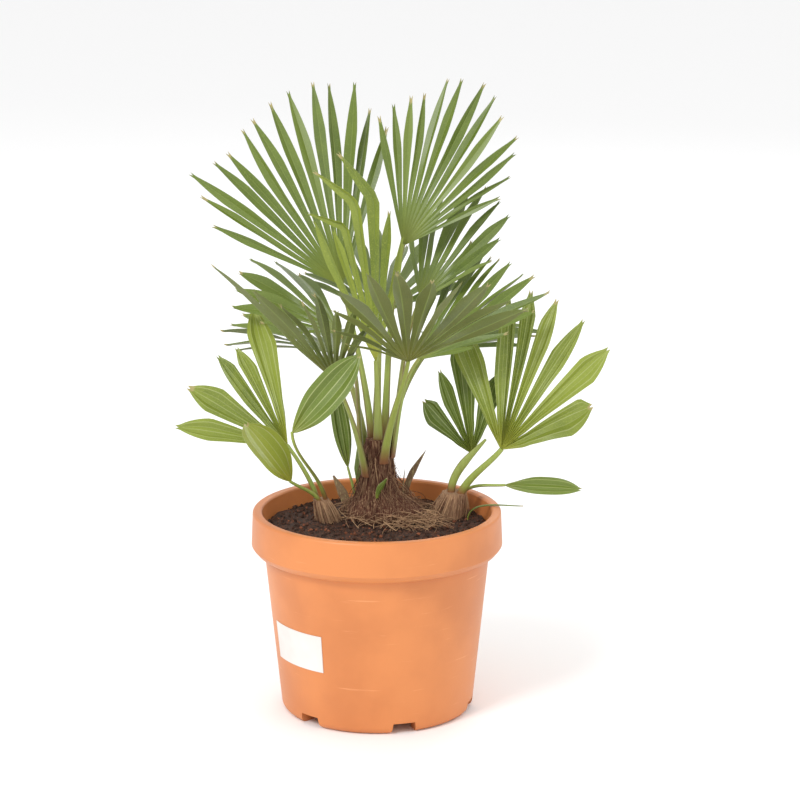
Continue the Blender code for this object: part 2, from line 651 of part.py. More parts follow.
def build_blade(name, spec, lobes):
    """The frond's blade as one thin plate."""
    leaf = material("leaf_" + name, spec["tint"], 0.55)
    points, normals, faces = blade_surface(spec, lobes)
    return plate(name + "_blade", points, normals, faces, BLADE_THICKNESS, leaf)


def curve_point(knots, t):
    """Point on the cubic curve with four knots."""
    a, b, c, d = knots
    s = 1 - t
    return a * s ** 3 + b * (3 * s * s * t) + c * (3 * s * t * t) + d * t ** 3


def along_sizes(sizes, t):
    """A size at a share of the length, straight between evenly spaced sizes."""
    place = t * (len(sizes) - 1)
    low = min(int(place), len(sizes) - 2)
    return sizes[low] + (sizes[low + 1] - sizes[low]) * (place - low)


def limb(name, knots, half_widths, half_depths, across, finish, level_foot=False):
    """A tapering limb of oval section along a cubic curve, widest along the across vector."""
    rings = []
    for row in range(PETIOLE_RINGS):
        t = row / (PETIOLE_RINGS - 1)
        centre = curve_point(knots, t)
        before = curve_point(knots, max(0, t - CURVE_STEP))
        after = curve_point(knots, min(1, t + CURVE_STEP))
        ahead = (after - before).normalized()
        if level_foot and row == 0:
            ahead = Vector((0, 0, 1))
        wide = (across - ahead * across.dot(ahead)).normalized()
        deep = ahead.cross(wide)
        half_width = along_sizes(half_widths, t)
        half_depth = along_sizes(half_depths, t)
        rings.append([centre + wide * (half_width * math.cos(2 * math.pi * k / PETIOLE_SIDES))
                      + deep * (half_depth * math.sin(2 * math.pi * k / PETIOLE_SIDES))
                      for k in range(PETIOLE_SIDES)])
    points, faces = rings_to_solid(rings)
    return add_object(name, points, faces, finish, smooth_angle=60)


def hub_stop(spec, ahead):
    """End of the petiole just short of the blade's apex."""
    _, _, normal = blade_frame(spec)
    back = HUB_CLEARANCE + abs(normal.dot(ahead)) * BLADE_THICKNESS / 2
    return Vector(spec["hub"]) - ahead * back


def build_crown_petiole(name, spec):
    """A petiole from the trunk's side or top to just short of the blade's apex."""
    along, _, _ = blade_frame(spec)
    tint = PETIOLE_YELLOW if name == "spear" else PETIOLE_GREEN
    stalk = material("petiole_" + name, tint, 0.5)
    hub = Vector(spec["hub"])
    upward = Vector((0, 0, 1))
    if spec["base"] is None:
        outward = Vector((spec["seat"][0], spec["seat"][1], 0))
        start = TRUNK_TOP + outward + upward * GAP
        lean = TOP_LEAN
    else:
        turn = math.radians(spec["base"][0])
        z = spec["base"][1]
        outward = Vector((math.cos(turn), math.sin(turn), 0))
        flat_depth = PETIOLE_DEPTHS[0] * math.cos(math.pi / PETIOLE_SIDES)
        reach = trunk_section(z - TRUNK_BASE_Z)[2] + GAP + flat_depth
        start = Vector((TRUNK_TOP.x, TRUNK_TOP.y, z)) + outward * reach
        lean = SIDE_LEAN
    rise = (hub - start).length
    across = outward.cross(upward).normalized()
    direct = (hub - start).normalized()
    way_in = (along * CROWN_TURN_IN + direct * (1 - CROWN_TURN_IN)).normalized()
    end = hub_stop(spec, way_in)
    knots = (start, start + (upward + outward.normalized() * lean) * rise * FOOT_KNOT,
             end - way_in * rise * HUB_KNOT, end)
    return limb("frond_" + name + "_petiole", knots, PETIOLE_WIDTHS, PETIOLE_DEPTHS, across, stalk,
                level_foot=spec["base"] is None)


def foot_point(spec, reach):
    """Where a small piece stands: on its sucker stem's flat top or on the trunk's flare."""
    if spec["stem"] is None:
        return flare_seat(spec["seat"], reach)
    top = Vector(SUCKERS[spec["stem"]]["top"])
    return top + Vector((spec["seat"][0], spec["seat"][1], GAP))


def build_small_bit(name, spec):
    """A small blade, spike or sheath from its foot to its tip."""
    finish = material(name, spec["tint"], 0.7)
    start = foot_point(spec, max(spec["widths"][0], spec["depths"][0]))
    tip = Vector(spec["tip"])
    span = tip - start
    lift = Vector((0, 0, span.length * BIT_LIFT))
    knots = (start, start + lift, start + span * BIT_BEND + lift * BIT_BEND_LIFT, tip)
    across = Vector((1, 0, 0)) if abs(span.x) < abs(span.z) else Vector((0.2, 1, 0)).normalized()
    return limb(name, knots, spec["widths"], spec["depths"], across, finish, level_foot=True)


def build_shoot_petiole(name, spec):
    """A petiole from its sucker stem's flat top to just short of the blade's apex."""
    along, side, _ = blade_frame(spec)
    stalk = material("petiole_" + name, PETIOLE_GREEN, 0.5)
    hub = Vector(spec["hub"])
    start = foot_point(spec, spec["petiole"][0])
    rise = (hub - start).length
    direct = (hub - start).normalized()
    way_in = (along * SHOOT_TURN_IN + direct * (1 - SHOOT_TURN_IN)).normalized()
    end = hub_stop(spec, way_in)
    lift = (direct + Vector((0, 0, SHOOT_LIFT))).normalized()
    knots = (start, start + lift * rise * FOOT_KNOT, end - way_in * rise * HUB_KNOT, end)
    wide = spec["petiole"]
    deep = (wide[0] * SHOOT_DEPTH_SHARES[0], wide[1] * SHOOT_DEPTH_SHARES[1])
    return limb(name + "_petiole", knots, wide, deep, side, stalk, level_foot=True)


def main():
    """Build every piece."""
    clear_scene()
    build_pot()
    build_soil()
    build_trunk()
    for name, spec in SUCKERS.items():
        build_sucker_stem(name, spec)
    for name, spec in CROWN.items():
        build_blade("frond_" + name, spec, crown_lobes(spec))
        build_crown_petiole(name, spec)
    for name, spec in SHOOTS.items():
        build_blade(name, spec, spec["lobes"])
        build_shoot_petiole(name, spec)
    for name, spec in SMALL_BITS.items():
        build_small_bit(name, spec)


main()
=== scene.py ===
"""Young european fan palm in a round nursery pot, dressed over its CAD frame.

Units are metres, +Z is up, the pot's axis is the Z axis and the pot stands on z = 0.
"""

import math
import random

import bpy
import numpy as np
from bpy.props import FloatProperty, FloatVectorProperty, IntProperty, PointerProperty
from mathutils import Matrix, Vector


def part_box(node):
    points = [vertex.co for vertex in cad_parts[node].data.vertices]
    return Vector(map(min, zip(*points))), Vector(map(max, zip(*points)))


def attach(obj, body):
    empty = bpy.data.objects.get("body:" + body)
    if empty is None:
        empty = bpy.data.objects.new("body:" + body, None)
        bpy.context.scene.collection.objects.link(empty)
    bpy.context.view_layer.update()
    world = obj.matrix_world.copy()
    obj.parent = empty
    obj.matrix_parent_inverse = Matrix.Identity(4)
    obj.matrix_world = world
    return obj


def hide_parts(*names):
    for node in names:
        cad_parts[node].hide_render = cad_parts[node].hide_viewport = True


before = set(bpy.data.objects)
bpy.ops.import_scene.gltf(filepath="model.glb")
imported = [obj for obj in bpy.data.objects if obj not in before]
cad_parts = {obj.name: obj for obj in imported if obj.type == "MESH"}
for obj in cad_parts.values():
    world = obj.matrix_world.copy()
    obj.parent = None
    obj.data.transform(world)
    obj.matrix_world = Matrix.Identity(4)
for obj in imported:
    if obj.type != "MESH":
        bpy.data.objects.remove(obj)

bl_info = {
    "name": "Potted fan palm",
    "version": (1, 0, 0),
    "blender": (4, 5, 0),
    "location": "3D View > Sidebar > Palm",
    "description": "Builds a young fan palm in its nursery pot piece by piece",
    "category": "Add Mesh",
}

# Gap between pieces that touch
GAP = 0.0003

# Pot, outside; the turned profile starts and ends just off the axis
POT_HEIGHT = 0.156
POT_SIDES = 144
POT_SHARP = 32
AXIS_GAP = 0.001
FOOT_RADIUS = 0.068
WALL_LOW_RADIUS = 0.074
WALL_LOW_Z = 0.006
WALL_TOP_RADIUS = 0.0862
COLLAR_LOW_Z = 0.124
COLLAR_LOW_RADIUS = 0.0885
COLLAR_RADIUS = 0.096
COLLAR_EDGE_Z = 0.13
COLLAR_UNDER_RISE = 0.0002
COLLAR_ROUND_IN = 0.0012
COLLAR_ROUND_DROP = 0.0018
RIM_RADIUS = 0.095
RIM_ROUND = 0.0022
LIP_RADIUS = 0.0875

# Pot, inside and underneath
WALL_THICKNESS = 0.0022
INNER_STEP_Z = 0.129
INNER_STEP_DROP = 0.004
FLOOR_UNDER_Z = 0.009
FLOOR_THICKNESS = 0.0022
FOOT_RING_WIDTH = 0.008
CENTRE_FOOT_RADIUS = 0.016
NOTCH_COUNT = 6
NOTCH_WIDTH = 0.02
NOTCH_HEIGHT = 0.0085
NOTCH_TURN = math.radians(-74.0)
NOTCH_TOP_SHARE = 0.85
DRAIN_RADIUS = 0.005
DRAIN_RING_RADIUS = 0.043
DRAIN_SIDES = 32
CUTTER_OVERRUN = 0.002

# Sticker on the wall: compass angles in degrees and heights of its edges
STICKER_TURNS = (200.6, 239.1)
STICKER_HEIGHTS = (0.0473, 0.0762)
STICKER_THICKNESS = 0.0003

# Soil
SOIL_Z = 0.1427
SOIL_RADIUS = 0.0862
SOIL_LOW_RADIUS = 0.0712
SOIL_MIDDLE_RADIUS = 0.083
SOIL_MIDDLE_Z = 0.123
SOIL_LUMP = 0.0012
SOIL_SIDES = 120
SOIL_TOP_RINGS = 46

# Granules: least radius, what is added to it at most, and range of their stretch
GRANULE_RADIUS = 0.0005
GRANULE_GROWTH = 0.0013
GRANULE_STRETCH = (0.6, 1.3)

# Trunk: flat foot on the soil, wide fibrous flare, short tapering stem
TRUNK_BASE_Z = SOIL_Z + GAP
TRUNK_TOP = (0.001, 0.022, 0.206)
FLARE_CENTRE = (0.007, 0.026)
# height above the foot, half width along X, half width along Y, lean from flare to axis
TRUNK_RINGS = (
    (0.0, 0.031, 0.025, 0.0),
    (0.006, 0.0305, 0.0245, 0.1),
    (0.012, 0.025, 0.0205, 0.4),
    (0.018, 0.018, 0.016, 0.8),
    (0.026, 0.0135, 0.013, 1.0),
    (0.04, 0.0118, 0.0116, 1.0),
    (0.054, 0.0105, 0.0104, 1.0),
)
TRUNK_TOP_RADIUS = 0.0096
TRUNK_HEIGHT = TRUNK_TOP[2] - TRUNK_BASE_Z
BARK_SIDES = 120
BARK_RELIEF = 0.05

# Wrapped fibres: range of their fall, most turn round the trunk, most lift off it for
# those that start under the height LOW_FIBRES and for the rest, and a way across that
# no fibre runs along
FIBRE_DROP = (0.008, 0.026)
FIBRE_SWING = 0.5
LOW_FIBRES = 0.022
LOW_LIFT = 0.0075
HIGH_LIFT = 0.0025
STRAND_ACROSS = np.array([0.31, 0.83, 0.2])

# Curled fibres: the patch before the trunk, how high they lie and their half length
NEST_X = (0.008, 0.052)
NEST_Y = (-0.014, 0.012)
NEST_HEIGHT = 0.008
NEST_REACH = (0.004, 0.013)

# Blades: fold is the rise of a leaflet's edges per half width, belly the share of its
# length where it is widest
FOLD = 0.26
BELLY = 0.5
LEAFLET_FIT = 0.98
LENGTH_SPREAD = (0.97, 1.02)
ANGLE_SPREAD = 0.12

# Petioles: half sizes at foot, middle and hub of a crown petiole, those of its sheath
# below, how far that is sunk, lean away from the trunk's axis, and how far the curve's
# middle knots stand from its ends
PETIOLE_WIDTHS = (0.003, 0.0021, 0.0017)
PETIOLE_DEPTHS = (0.0017, 0.0015, 0.0013)
FOOT_WIDTH = 0.0042
FOOT_DEPTH = 0.0019
FOOT_SUNK = 0.004
SIDE_LEAN = 0.18
TOP_LEAN = 0.1
FOOT_KNOT = 0.33
HUB_KNOT = 0.3

# Shares of the blade's own direction in the way a petiole comes into its hub
CROWN_TURN_IN = 0.55
SHOOT_TURN_IN = 0.3
SHOOT_LIFT = 0.8
SHOOT_DEPTH_SHARES = (0.7, 0.8)

# Small pieces: rise of the curve as a share of the piece's length
BIT_LIFT = 0.35
BIT_BEND = 0.62
BIT_BEND_LIFT = 0.25
DEAD_TAPER = (0.9, 0.7, 0.25)

# Crown fronds. hub: where the leaflets meet. aim: way of the middle leaflet.
# face: way the upper side looks. sweep: angles of the first and the last leaflet.
# lengths: leaflet lengths at even steps of the sweep. split: share of the length that is
# joined to the neighbours. sag: fall of the tips, where there is one.
# base: compass angle where the petiole leaves the trunk's side and its height. The three
# that rise from the trunk's top have their seat there instead.
CROWN = {
    "left_high": dict(
        hub=(-0.0265, 0.055, 0.319), aim=(-0.32, 0.24, 0.92), face=(0.1, -0.95, 0.29),
        sweep=(-46, 35), leaflets=14,
        lengths=(0.112, 0.146, 0.138, 0.141, 0.156, 0.161, 0.156, 0.128),
        split=0.4, seat=(-0.0048, 0.0045), seed=3),
    "right_high": dict(
        hub=(0.0205, 0.06, 0.349), aim=(0.4, 0.18, 0.9), face=(-0.1, -0.96, 0.24),
        sweep=(-34, 40), leaflets=13, lengths=(0.102, 0.123, 0.141, 0.124, 0.084), split=0.45,
        seat=(0.0045, 0.0045), seed=5),
    "spear": dict(
        hub=(-0.0005, 0.018, 0.2665), aim=(-0.08, 0.1, 0.99), face=(0.0, -0.99, 0.1),
        sweep=(-19, 16), leaflets=7, lengths=(0.12, 0.104, 0.122, 0.126, 0.1), split=0.5,
        seat=(0.0, -0.004), seed=8),
    "front": dict(
        hub=(0.0234, -0.026, 0.2767), aim=(0.0, -0.77, 0.64), face=(0.0, 0.64, 0.77),
        sweep=(-45, 52), leaflets=11, lengths=(0.118, 0.134, 0.15, 0.118, 0.058), split=0.4,
        base=(292, 0.193), seed=13),
    "right_low": dict(
        hub=(0.0316, 0.022, 0.2675), aim=(0.85, -0.08, 0.52), face=(-0.51, -0.41, 0.76),
        sweep=(-58, 26), leaflets=11, lengths=(0.132, 0.102, 0.108, 0.114, 0.05), split=0.42,
        base=(342, 0.196), seed=21),
    "left_low": dict(
        hub=(-0.0314, 0.002, 0.2555), aim=(-0.54, -0.38, 0.75), face=(0.3, 0.745, 0.6),
        sweep=(-54, 8), leaflets=8, lengths=(0.084, 0.092, 0.093, 0.094, 0.136), split=0.48,
        base=(222, 0.182), seed=34),
    "left_back": dict(
        hub=(-0.028, 0.064, 0.279), aim=(-0.86, 0.2, 0.46), face=(0.35, -0.45, 0.82),
        sweep=(-36, 44), leaflets=8, lengths=(0.04, 0.088, 0.1, 0.112, 0.09), split=0.42,
        sag=0.12, base=(166, 0.19), seed=55),
    "right_back": dict(
        hub=(0.0335, 0.055, 0.3076), aim=(0.6, 0.28, 0.75), face=(-0.45, -0.65, 0.6),
        sweep=(-48, 30), leaflets=9, lengths=(0.08, 0.1, 0.112, 0.1, 0.066), split=0.42,
        sag=0.05, base=(24, 0.198), seed=89),
    "back_left": dict(
        hub=(-0.033, 0.09, 0.258), aim=(-0.62, 0.75, 0.24), face=(0.15, -0.16, 0.97),
        sweep=(-46, 46), leaflets=10, lengths=(0.08, 0.104, 0.114, 0.104, 0.08), split=0.42,
        sag=0.1, base=(130, 0.188), seed=144),
    "back_right": dict(
        hub=(0.04, 0.085, 0.26), aim=(0.7, 0.68, 0.22), face=(-0.15, -0.16, 0.97),
        sweep=(-46, 46), leaflets=10, lengths=(0.08, 0.104, 0.114, 0.104, 0.08), split=0.42,
        sag=0.1, base=(60, 0.188), seed=233),
    "back": dict(
        hub=(0.003, 0.085, 0.29), aim=(0.02, 0.86, 0.5), face=(0.0, -0.5, 0.86),
        sweep=(-52, 52), leaflets=11, lengths=(0.084, 0.106, 0.118, 0.106, 0.084), split=0.42,
        sag=0.1, base=(95, 0.194), seed=377),
}

# Sucker stems: foot centre, top centre, radius at the foot and at the top
SUCKERS = {
    "left_sucker": dict(foot=(-0.037, 0.013), top=(-0.043, 0.014, 0.16), radii=(0.0076, 0.0064)),
    "right_sucker": dict(foot=(0.054, 0.024), top=(0.06, 0.027, 0.162), radii=(0.0125, 0.0098)),
}

# Sucker fronds. lobes: angle, length and width of each. seat: where the petiole stands
# on its stem's top, from the centre, or on the trunk's flare, from the trunk's axis.
# petiole: half width at its foot and at its end.
SHOOTS = {
    "left_sucker_fan": dict(
        stem="left_sucker", seat=(-0.003, 0.0022), hub=(-0.0679, 0.012, 0.2026),
        aim=(-0.76, 0.23, 0.61), face=(0.25, -0.76, 0.6),
        lobes=((-33, 0.088, 0.016), (-12, 0.089, 0.02), (13, 0.09, 0.013), (23, 0.088, 0.013),
               (37, 0.122, 0.019)),
        split=0.2, petiole=(0.0022, 0.0014)),
    "left_sucker_front": dict(
        stem="left_sucker", seat=(-0.001, -0.0037), hub=(-0.0653, -0.004, 0.1784),
        aim=(-0.55, -0.5, 0.65), face=(-0.25, 0.8, 0.5),
        lobes=((-10, 0.078, 0.027),),
        split=0.06, petiole=(0.0018, 0.0012)),
    "left_sucker_lens": dict(
        stem="left_sucker", seat=(0.0036, -0.0006), hub=(-0.0633, -0.032, 0.2236),
        aim=(0.64, 0.0, 0.77), face=(0.0, -1.0, 0.0),
        lobes=((2, 0.078, 0.026),),
        split=0.06, petiole=(0.002, 0.0012)),
    "trunk_shoot": dict(
        seat=(-0.018, 0.013), hub=(-0.0224, 0.04, 0.1777),
        aim=(-0.2, 0.1, 1.0), face=(0.3, -0.9, 0.3),
        lobes=((4, 0.062, 0.014),),
        split=0.06, petiole=(0.0012, 0.001)),
    "right_sucker_fan": dict(
        stem="right_sucker", seat=(0.0046, -0.0046), hub=(0.0949, 0.01, 0.1996),
        aim=(0.51, 0.27, 0.8), face=(-0.12, -0.9, 0.42),
        lobes=((-49, 0.112, 0.018), (-27, 0.119, 0.014), (-19, 0.127, 0.014), (-11, 0.126, 0.013),
               (1, 0.121, 0.013), (15, 0.115, 0.02), (32, 0.078, 0.03)),
        split=0.18, petiole=(0.0032, 0.0019)),
    "right_sucker_rear": dict(
        stem="right_sucker", seat=(-0.0042, 0.0052), hub=(0.0738, 0.042, 0.1882),
        aim=(-0.07, 0.33, 0.95), face=(-0.1, -0.95, 0.3),
        lobes=((-37, 0.057, 0.017), (-17, 0.071, 0.01), (-3, 0.094, 0.015), (23, 0.066, 0.014)),
        split=0.2, petiole=(0.0016, 0.001)),
    "right_sucker_low": dict(
        stem="right_sucker", seat=(0.0072, 0.0022), hub=(0.098, 0.02, 0.169),
        aim=(0.98, -0.12, 0.0), face=(0.0, -0.55, 0.83),
        lobes=((0, 0.06, 0.016),),
        split=0.06, petiole=(0.0016, 0.0011)),
}

# Small single pieces. stem: the sucker they stand on; the rest stand on the trunk's flare.
# seat: as above. tip: where they end. widths and depths: half sizes at the foot, middle and tip.
SMALL_BITS = {
    "right_sucker_sheath": dict(
        stem="right_sucker", seat=(-0.0026, -0.0008), tip=(0.084, 0.026, 0.204),
        widths=(0.003, 0.0034, 0.001), depths=(0.002, 0.0018, 0.0006)),
    "right_sucker_grass": dict(
        seat=(0.069, -0.006), tip=(0.1115, -0.004, 0.159),
        widths=(0.0012, 0.0014, 0.0004), depths=(0.0007, 0.0006, 0.0004)),
    "dead_sheath_right": dict(
        seat=(0.0215, 0.017), tip=(0.0383, 0.05, 0.1894),
        widths=(0.0024, 0.0036, 0.0005), depths=(0.0012, 0.001, 0.0005)),
    "dead_spike": dict(
        seat=(0.019, 0.0), tip=(0.0217, 0.02, 0.1829),
        widths=(0.001, 0.0008, 0.0004), depths=(0.0008, 0.0006, 0.0004)),
    "dead_sheath_left": dict(
        seat=(-0.024, 0.02), tip=(-0.034, 0.052, 0.1683),
        widths=(0.003, 0.0055, 0.003), depths=(0.001, 0.0009, 0.0006)),
    "dark_leaf": dict(
        seat=(-0.014, 0.014), tip=(-0.0146, 0.04, 0.1961),
        widths=(0.0018, 0.0042, 0.0005), depths=(0.0009, 0.0008, 0.0004)),
    "tiny_leaf": dict(
        seat=(-0.001, -0.0155), tip=(0.0077, 0.003, 0.1792),
        widths=(0.001, 0.0026, 0.0005), depths=(0.0008, 0.0008, 0.0004)),
}

# Leaflet grids: rows along, and places across from edge to edge with the rib at 0
LEAF_ROWS = 26
PLAIN_COLUMNS = np.array([-1.0, -0.6, -0.14, 0.0, 0.14, 0.6, 1.0])
PLEATED_COLUMNS = np.linspace(-1.0, 1.0, 19)

# Pleats: how many across, height, and shares of the length where they rise and fade
PLEAT_COUNT = 3
PLEAT_RISE = 0.0007
PLEAT_START = 0.15
PLEAT_END = 0.2

# Width of a leaflet: share of its CAD width and the spear's further share, power by which
# it narrows to the tip, least half width, room of a lone leaf (no limit) and power of its
# swell, and share by which a leaflet's edges are thinner than its rib
FULLNESS = 1.26
SPEAR_FULLNESS = 1.45
TIP_FULLNESS = 3.0
TIP_HALF_WIDTH = 0.0012
LONE_ROOM = 9.0
LONE_ROUNDNESS = 0.8
EDGE_THINNING = 0.6

# Free part of a leaflet: share of the CAD split that stays joined, share of its room that
# the slit takes, the most that it leans and twists in radians, share of the twist in
# pleated ones, extra fold, range of its lift as a share of the length, and the notch
OPEN_SHARE = 0.55
SLIT = 0.17
SLIT_RUN = 0.12
LEAN = 0.075
TWIST = 0.75
PLEATED_TWIST = 0.4
DEEPER_FOLD = 0.22
FREE_RUN = 0.35
LIFT = (-0.075, 0.045)
TIP_NOTCH = 0.003
NOTCH_RUN = 0.1
YOUNG_SHOOTS = ("right_sucker_fan", "left_sucker_fan", "left_sucker_front")

# Bent leaflet ends: frond, leaflet: turn in degrees and extra length past the bend, which
# starts at a share of the length and turns over a short run
BENT_ENDS = {
    ("spear", 2): (-58, 0.029), ("spear", 3): (-45, 0.038), ("spear", 4): (-35, 0.044),
    ("front", 0): (-24, 0.004), ("left_low", 3): (30, 0.006), ("right_high", 4): (8, 0.003),
}
BEND_START = 0.97
BEND_RUN = 0.005

# Finishes: step of the fine veins in the across share, and depth of every bump
VEIN_STEP = 0.045
BUMP_DEPTH = 0.0005

# Stage: name, place, power and size of each light, what they look at, and the camera
FLOOR_REACH = 20.0
LIGHTS = (("key_light", (-1.3, -1.7, 2.1), 36.0, 0.7), ("fill_light", (1.8, -1.2, 1.3), 5.0, 1.6),
          ("back_light", (0.6, 1.9, 1.8), 11.0, 1.4))
LIT_PLACE = (0.0, 0.0, 0.2)
SKY_STRENGTH = 0.96
CAMERA_PLACE = (0.0, -1.992, 0.716)
CAMERA_ANGLES = (90 - 13.4, 0.0, -0.507)
CAMERA_LENS = 121.7

UP = np.array([0.0, 0.0, 1.0])
TRUNK_CENTRE = np.array(TRUNK_TOP)


def unit(vector):
    """Vectors of length one, along the last axis."""
    vector = np.asarray(vector, float)
    return vector / np.linalg.norm(vector, axis=-1, keepdims=True)


def ease(value):
    """Smooth step from 0 to 1: 3x^2 - 2x^3 with x held to 0..1."""
    held = np.clip(value, 0.0, 1.0)
    return held * held * (3.0 - 2.0 * held)


def turned(radius, turn, z, x=0.0, y=0.0):
    """Points (x + radius cos(turn), y + radius sin(turn), z) over the arrays' shared shape."""
    return np.stack(np.broadcast_arrays(x + radius * np.cos(turn), y + radius * np.sin(turn), z), -1)


def full_turn(sides):
    """Even angles round a circle."""
    return 2 * np.pi * np.arange(sides) / sides


def put_in_scene(name, data):
    """A new object of the data, linked to the scene."""
    thing = bpy.data.objects.new(name, data)
    bpy.context.scene.collection.objects.link(thing)
    return thing


def shade_from(mesh, sharp):
    """Smooth shading, with edges sharper than an angle in degrees kept sharp."""
    mesh.shade_smooth()
    mesh.set_sharp_from_angle(angle=math.radians(sharp))


class Batch:
    """Points, faces and point data of many surfaces that become one mesh."""

    def __init__(self):
        self.points, self.faces, self.data, self.count = [], [], [], 0

    def add(self, surface, along=0.0, across=0.0, shade=0.0, under=0.0):
        """Append one surface; the last four are numbers or arrays with one value a point."""
        points, faces = surface
        size = len(points)
        self.points.append(points)
        for block in faces:
            self.faces += (block + self.count).tolist()
        self.data.append(np.stack([np.broadcast_to(v, size) for v in (along, across, shade, under)], 1))
        self.count += size

    def mesh(self, name):
        """All surfaces as one bare mesh."""
        mesh = bpy.data.meshes.new(name)
        mesh.from_pydata(np.concatenate(self.points).tolist(), [], self.faces)
        return mesh

    def make(self, name, finish, replaced, sharp):
        """One object: UV map leaf holds along and across, attributes hold shade and under."""
        mesh = self.mesh(name)
        data = np.concatenate(self.data).astype(np.float32)
        corner = np.empty(len(mesh.loops), dtype=np.int32)
        mesh.loops.foreach_get("vertex_index", corner)
        mesh.uv_layers.new(name="leaf").data.foreach_set("uv", data[corner, :2].ravel())
        for column, label in ((2, "shade"), (3, "under")):
            attribute = mesh.attributes.new(label, "FLOAT", "POINT")
            attribute.data.foreach_set("value", np.ascontiguousarray(data[:, column]))
        shade_from(mesh, sharp)
        mesh.materials.append(finish)
        thing = put_in_scene(name, mesh)
        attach(thing, "root")
        if replaced:
            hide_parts(*replaced)
        return thing


def thin_body(top, under):
    """Closed body between two equal grids: the grids' quads and a wall round their border."""
    rows, columns = top.shape[:2]
    size = rows * columns
    index = np.arange(size).reshape(rows, columns)
    quads = np.stack([index[:-1, :-1], index[:-1, 1:], index[1:, 1:], index[1:, :-1]], -1).reshape(-1, 4)
    border = np.concatenate([index[0, :], index[1:, -1], index[-1, -2::-1], index[-2:0:-1, 0]])
    after = np.roll(border, -1)
    wall = np.stack([after, border, border + size, after + size], 1)
    points = np.concatenate([top.reshape(-1, 3), under.reshape(-1, 3)])
    return points, [quads, quads[:, ::-1] + size, wall]


def ring_body(rings):
    """Closed body through rings of points: quads between rings, and at each end a fan of
    triangles to a middle point."""
    rows, sides = rings.shape[:2]
    index = np.arange(rows * sides).reshape(rows, sides)
    beside = np.roll(index, -1, 1)
    quads = np.stack([index[:-1], beside[:-1], beside[1:], index[1:]], -1).reshape(-1, 4)
    ends = np.full((2, sides), rows * sides)
    ends[1] += 1
    low = np.stack([beside[0], index[0], ends[0]], 1)
    high = np.stack([index[-1], beside[-1], ends[1]], 1)
    points = np.concatenate([rings.reshape(-1, 3), rings[:1].mean(1), rings[-1:].mean(1)])
    return points, [quads, low, high]


def curve(knots, t):
    """Points and unit tangents of the cubic curve with four knots, at shares t."""
    a, b, c, d = [np.asarray(knot, float) for knot in knots]
    t = t[:, None]
    s = 1.0 - t
    points = a * s ** 3 + b * 3 * s * s * t + c * 3 * s * t * t + d * t ** 3
    return points, unit((b - a) * s * s + (c - b) * 2 * s * t + (d - c) * t * t + 1e-9)


def limb(batch, knots, widths, depths, across, shade, rows=24, sides=12):
    """Tapering oval limb: centre(t) + wide cos(a) w(t) + deep sin(a) d(t), w and d straight
    between even sizes."""
    t = np.linspace(0.0, 1.0, rows)
    centres, ahead = curve(knots, t)
    wide = unit(across - ahead * (ahead @ across)[:, None])
    deep = np.cross(ahead, wide)
    w = np.interp(t, np.linspace(0, 1, len(widths)), widths)[:, None, None]
    d = np.interp(t, np.linspace(0, 1, len(depths)), depths)[:, None, None]
    turn = full_turn(sides)[None, :, None]
    rings = centres[:, None] + wide[:, None] * np.cos(turn) * w + deep[:, None] * np.sin(turn) * d
    shares = np.append(np.repeat(t, sides), [0.0, 1.0])
    edge_shares = np.append(np.tile(np.abs(np.cos(turn.ravel())), rows), [0.0, 0.0])
    batch.add(ring_body(rings), shares, edge_shares, shade)


def blade_frame(spec):
    """Unit vectors of a blade: along the middle, to the side and out of the upper face."""
    normal = unit(spec["face"])
    aim = np.array(spec["aim"], float)
    along = unit(aim - normal * (aim @ normal))
    return along, np.cross(along, normal), normal


def crown_lobes(spec):
    """Angle, length and width of each leaflet of a crown frond, by rule from its sweep."""
    chance = random.Random(spec["seed"])
    first, last = spec["sweep"]
    count = spec["leaflets"]
    step = (last - first) / (count - 1)
    places = np.linspace(0, 1, len(spec["lengths"]))
    lobes = []
    for index in range(count):
        length = np.interp(index / (count - 1), places, spec["lengths"]) * chance.uniform(*LENGTH_SPREAD)
        angle = first + step * index + chance.uniform(-ANGLE_SPREAD, ANGLE_SPREAD) * step
        width = 2 * BELLY * length * math.tan(math.radians(step) / 2) * LEAFLET_FIT
        lobes.append((angle, length, width))
    return lobes


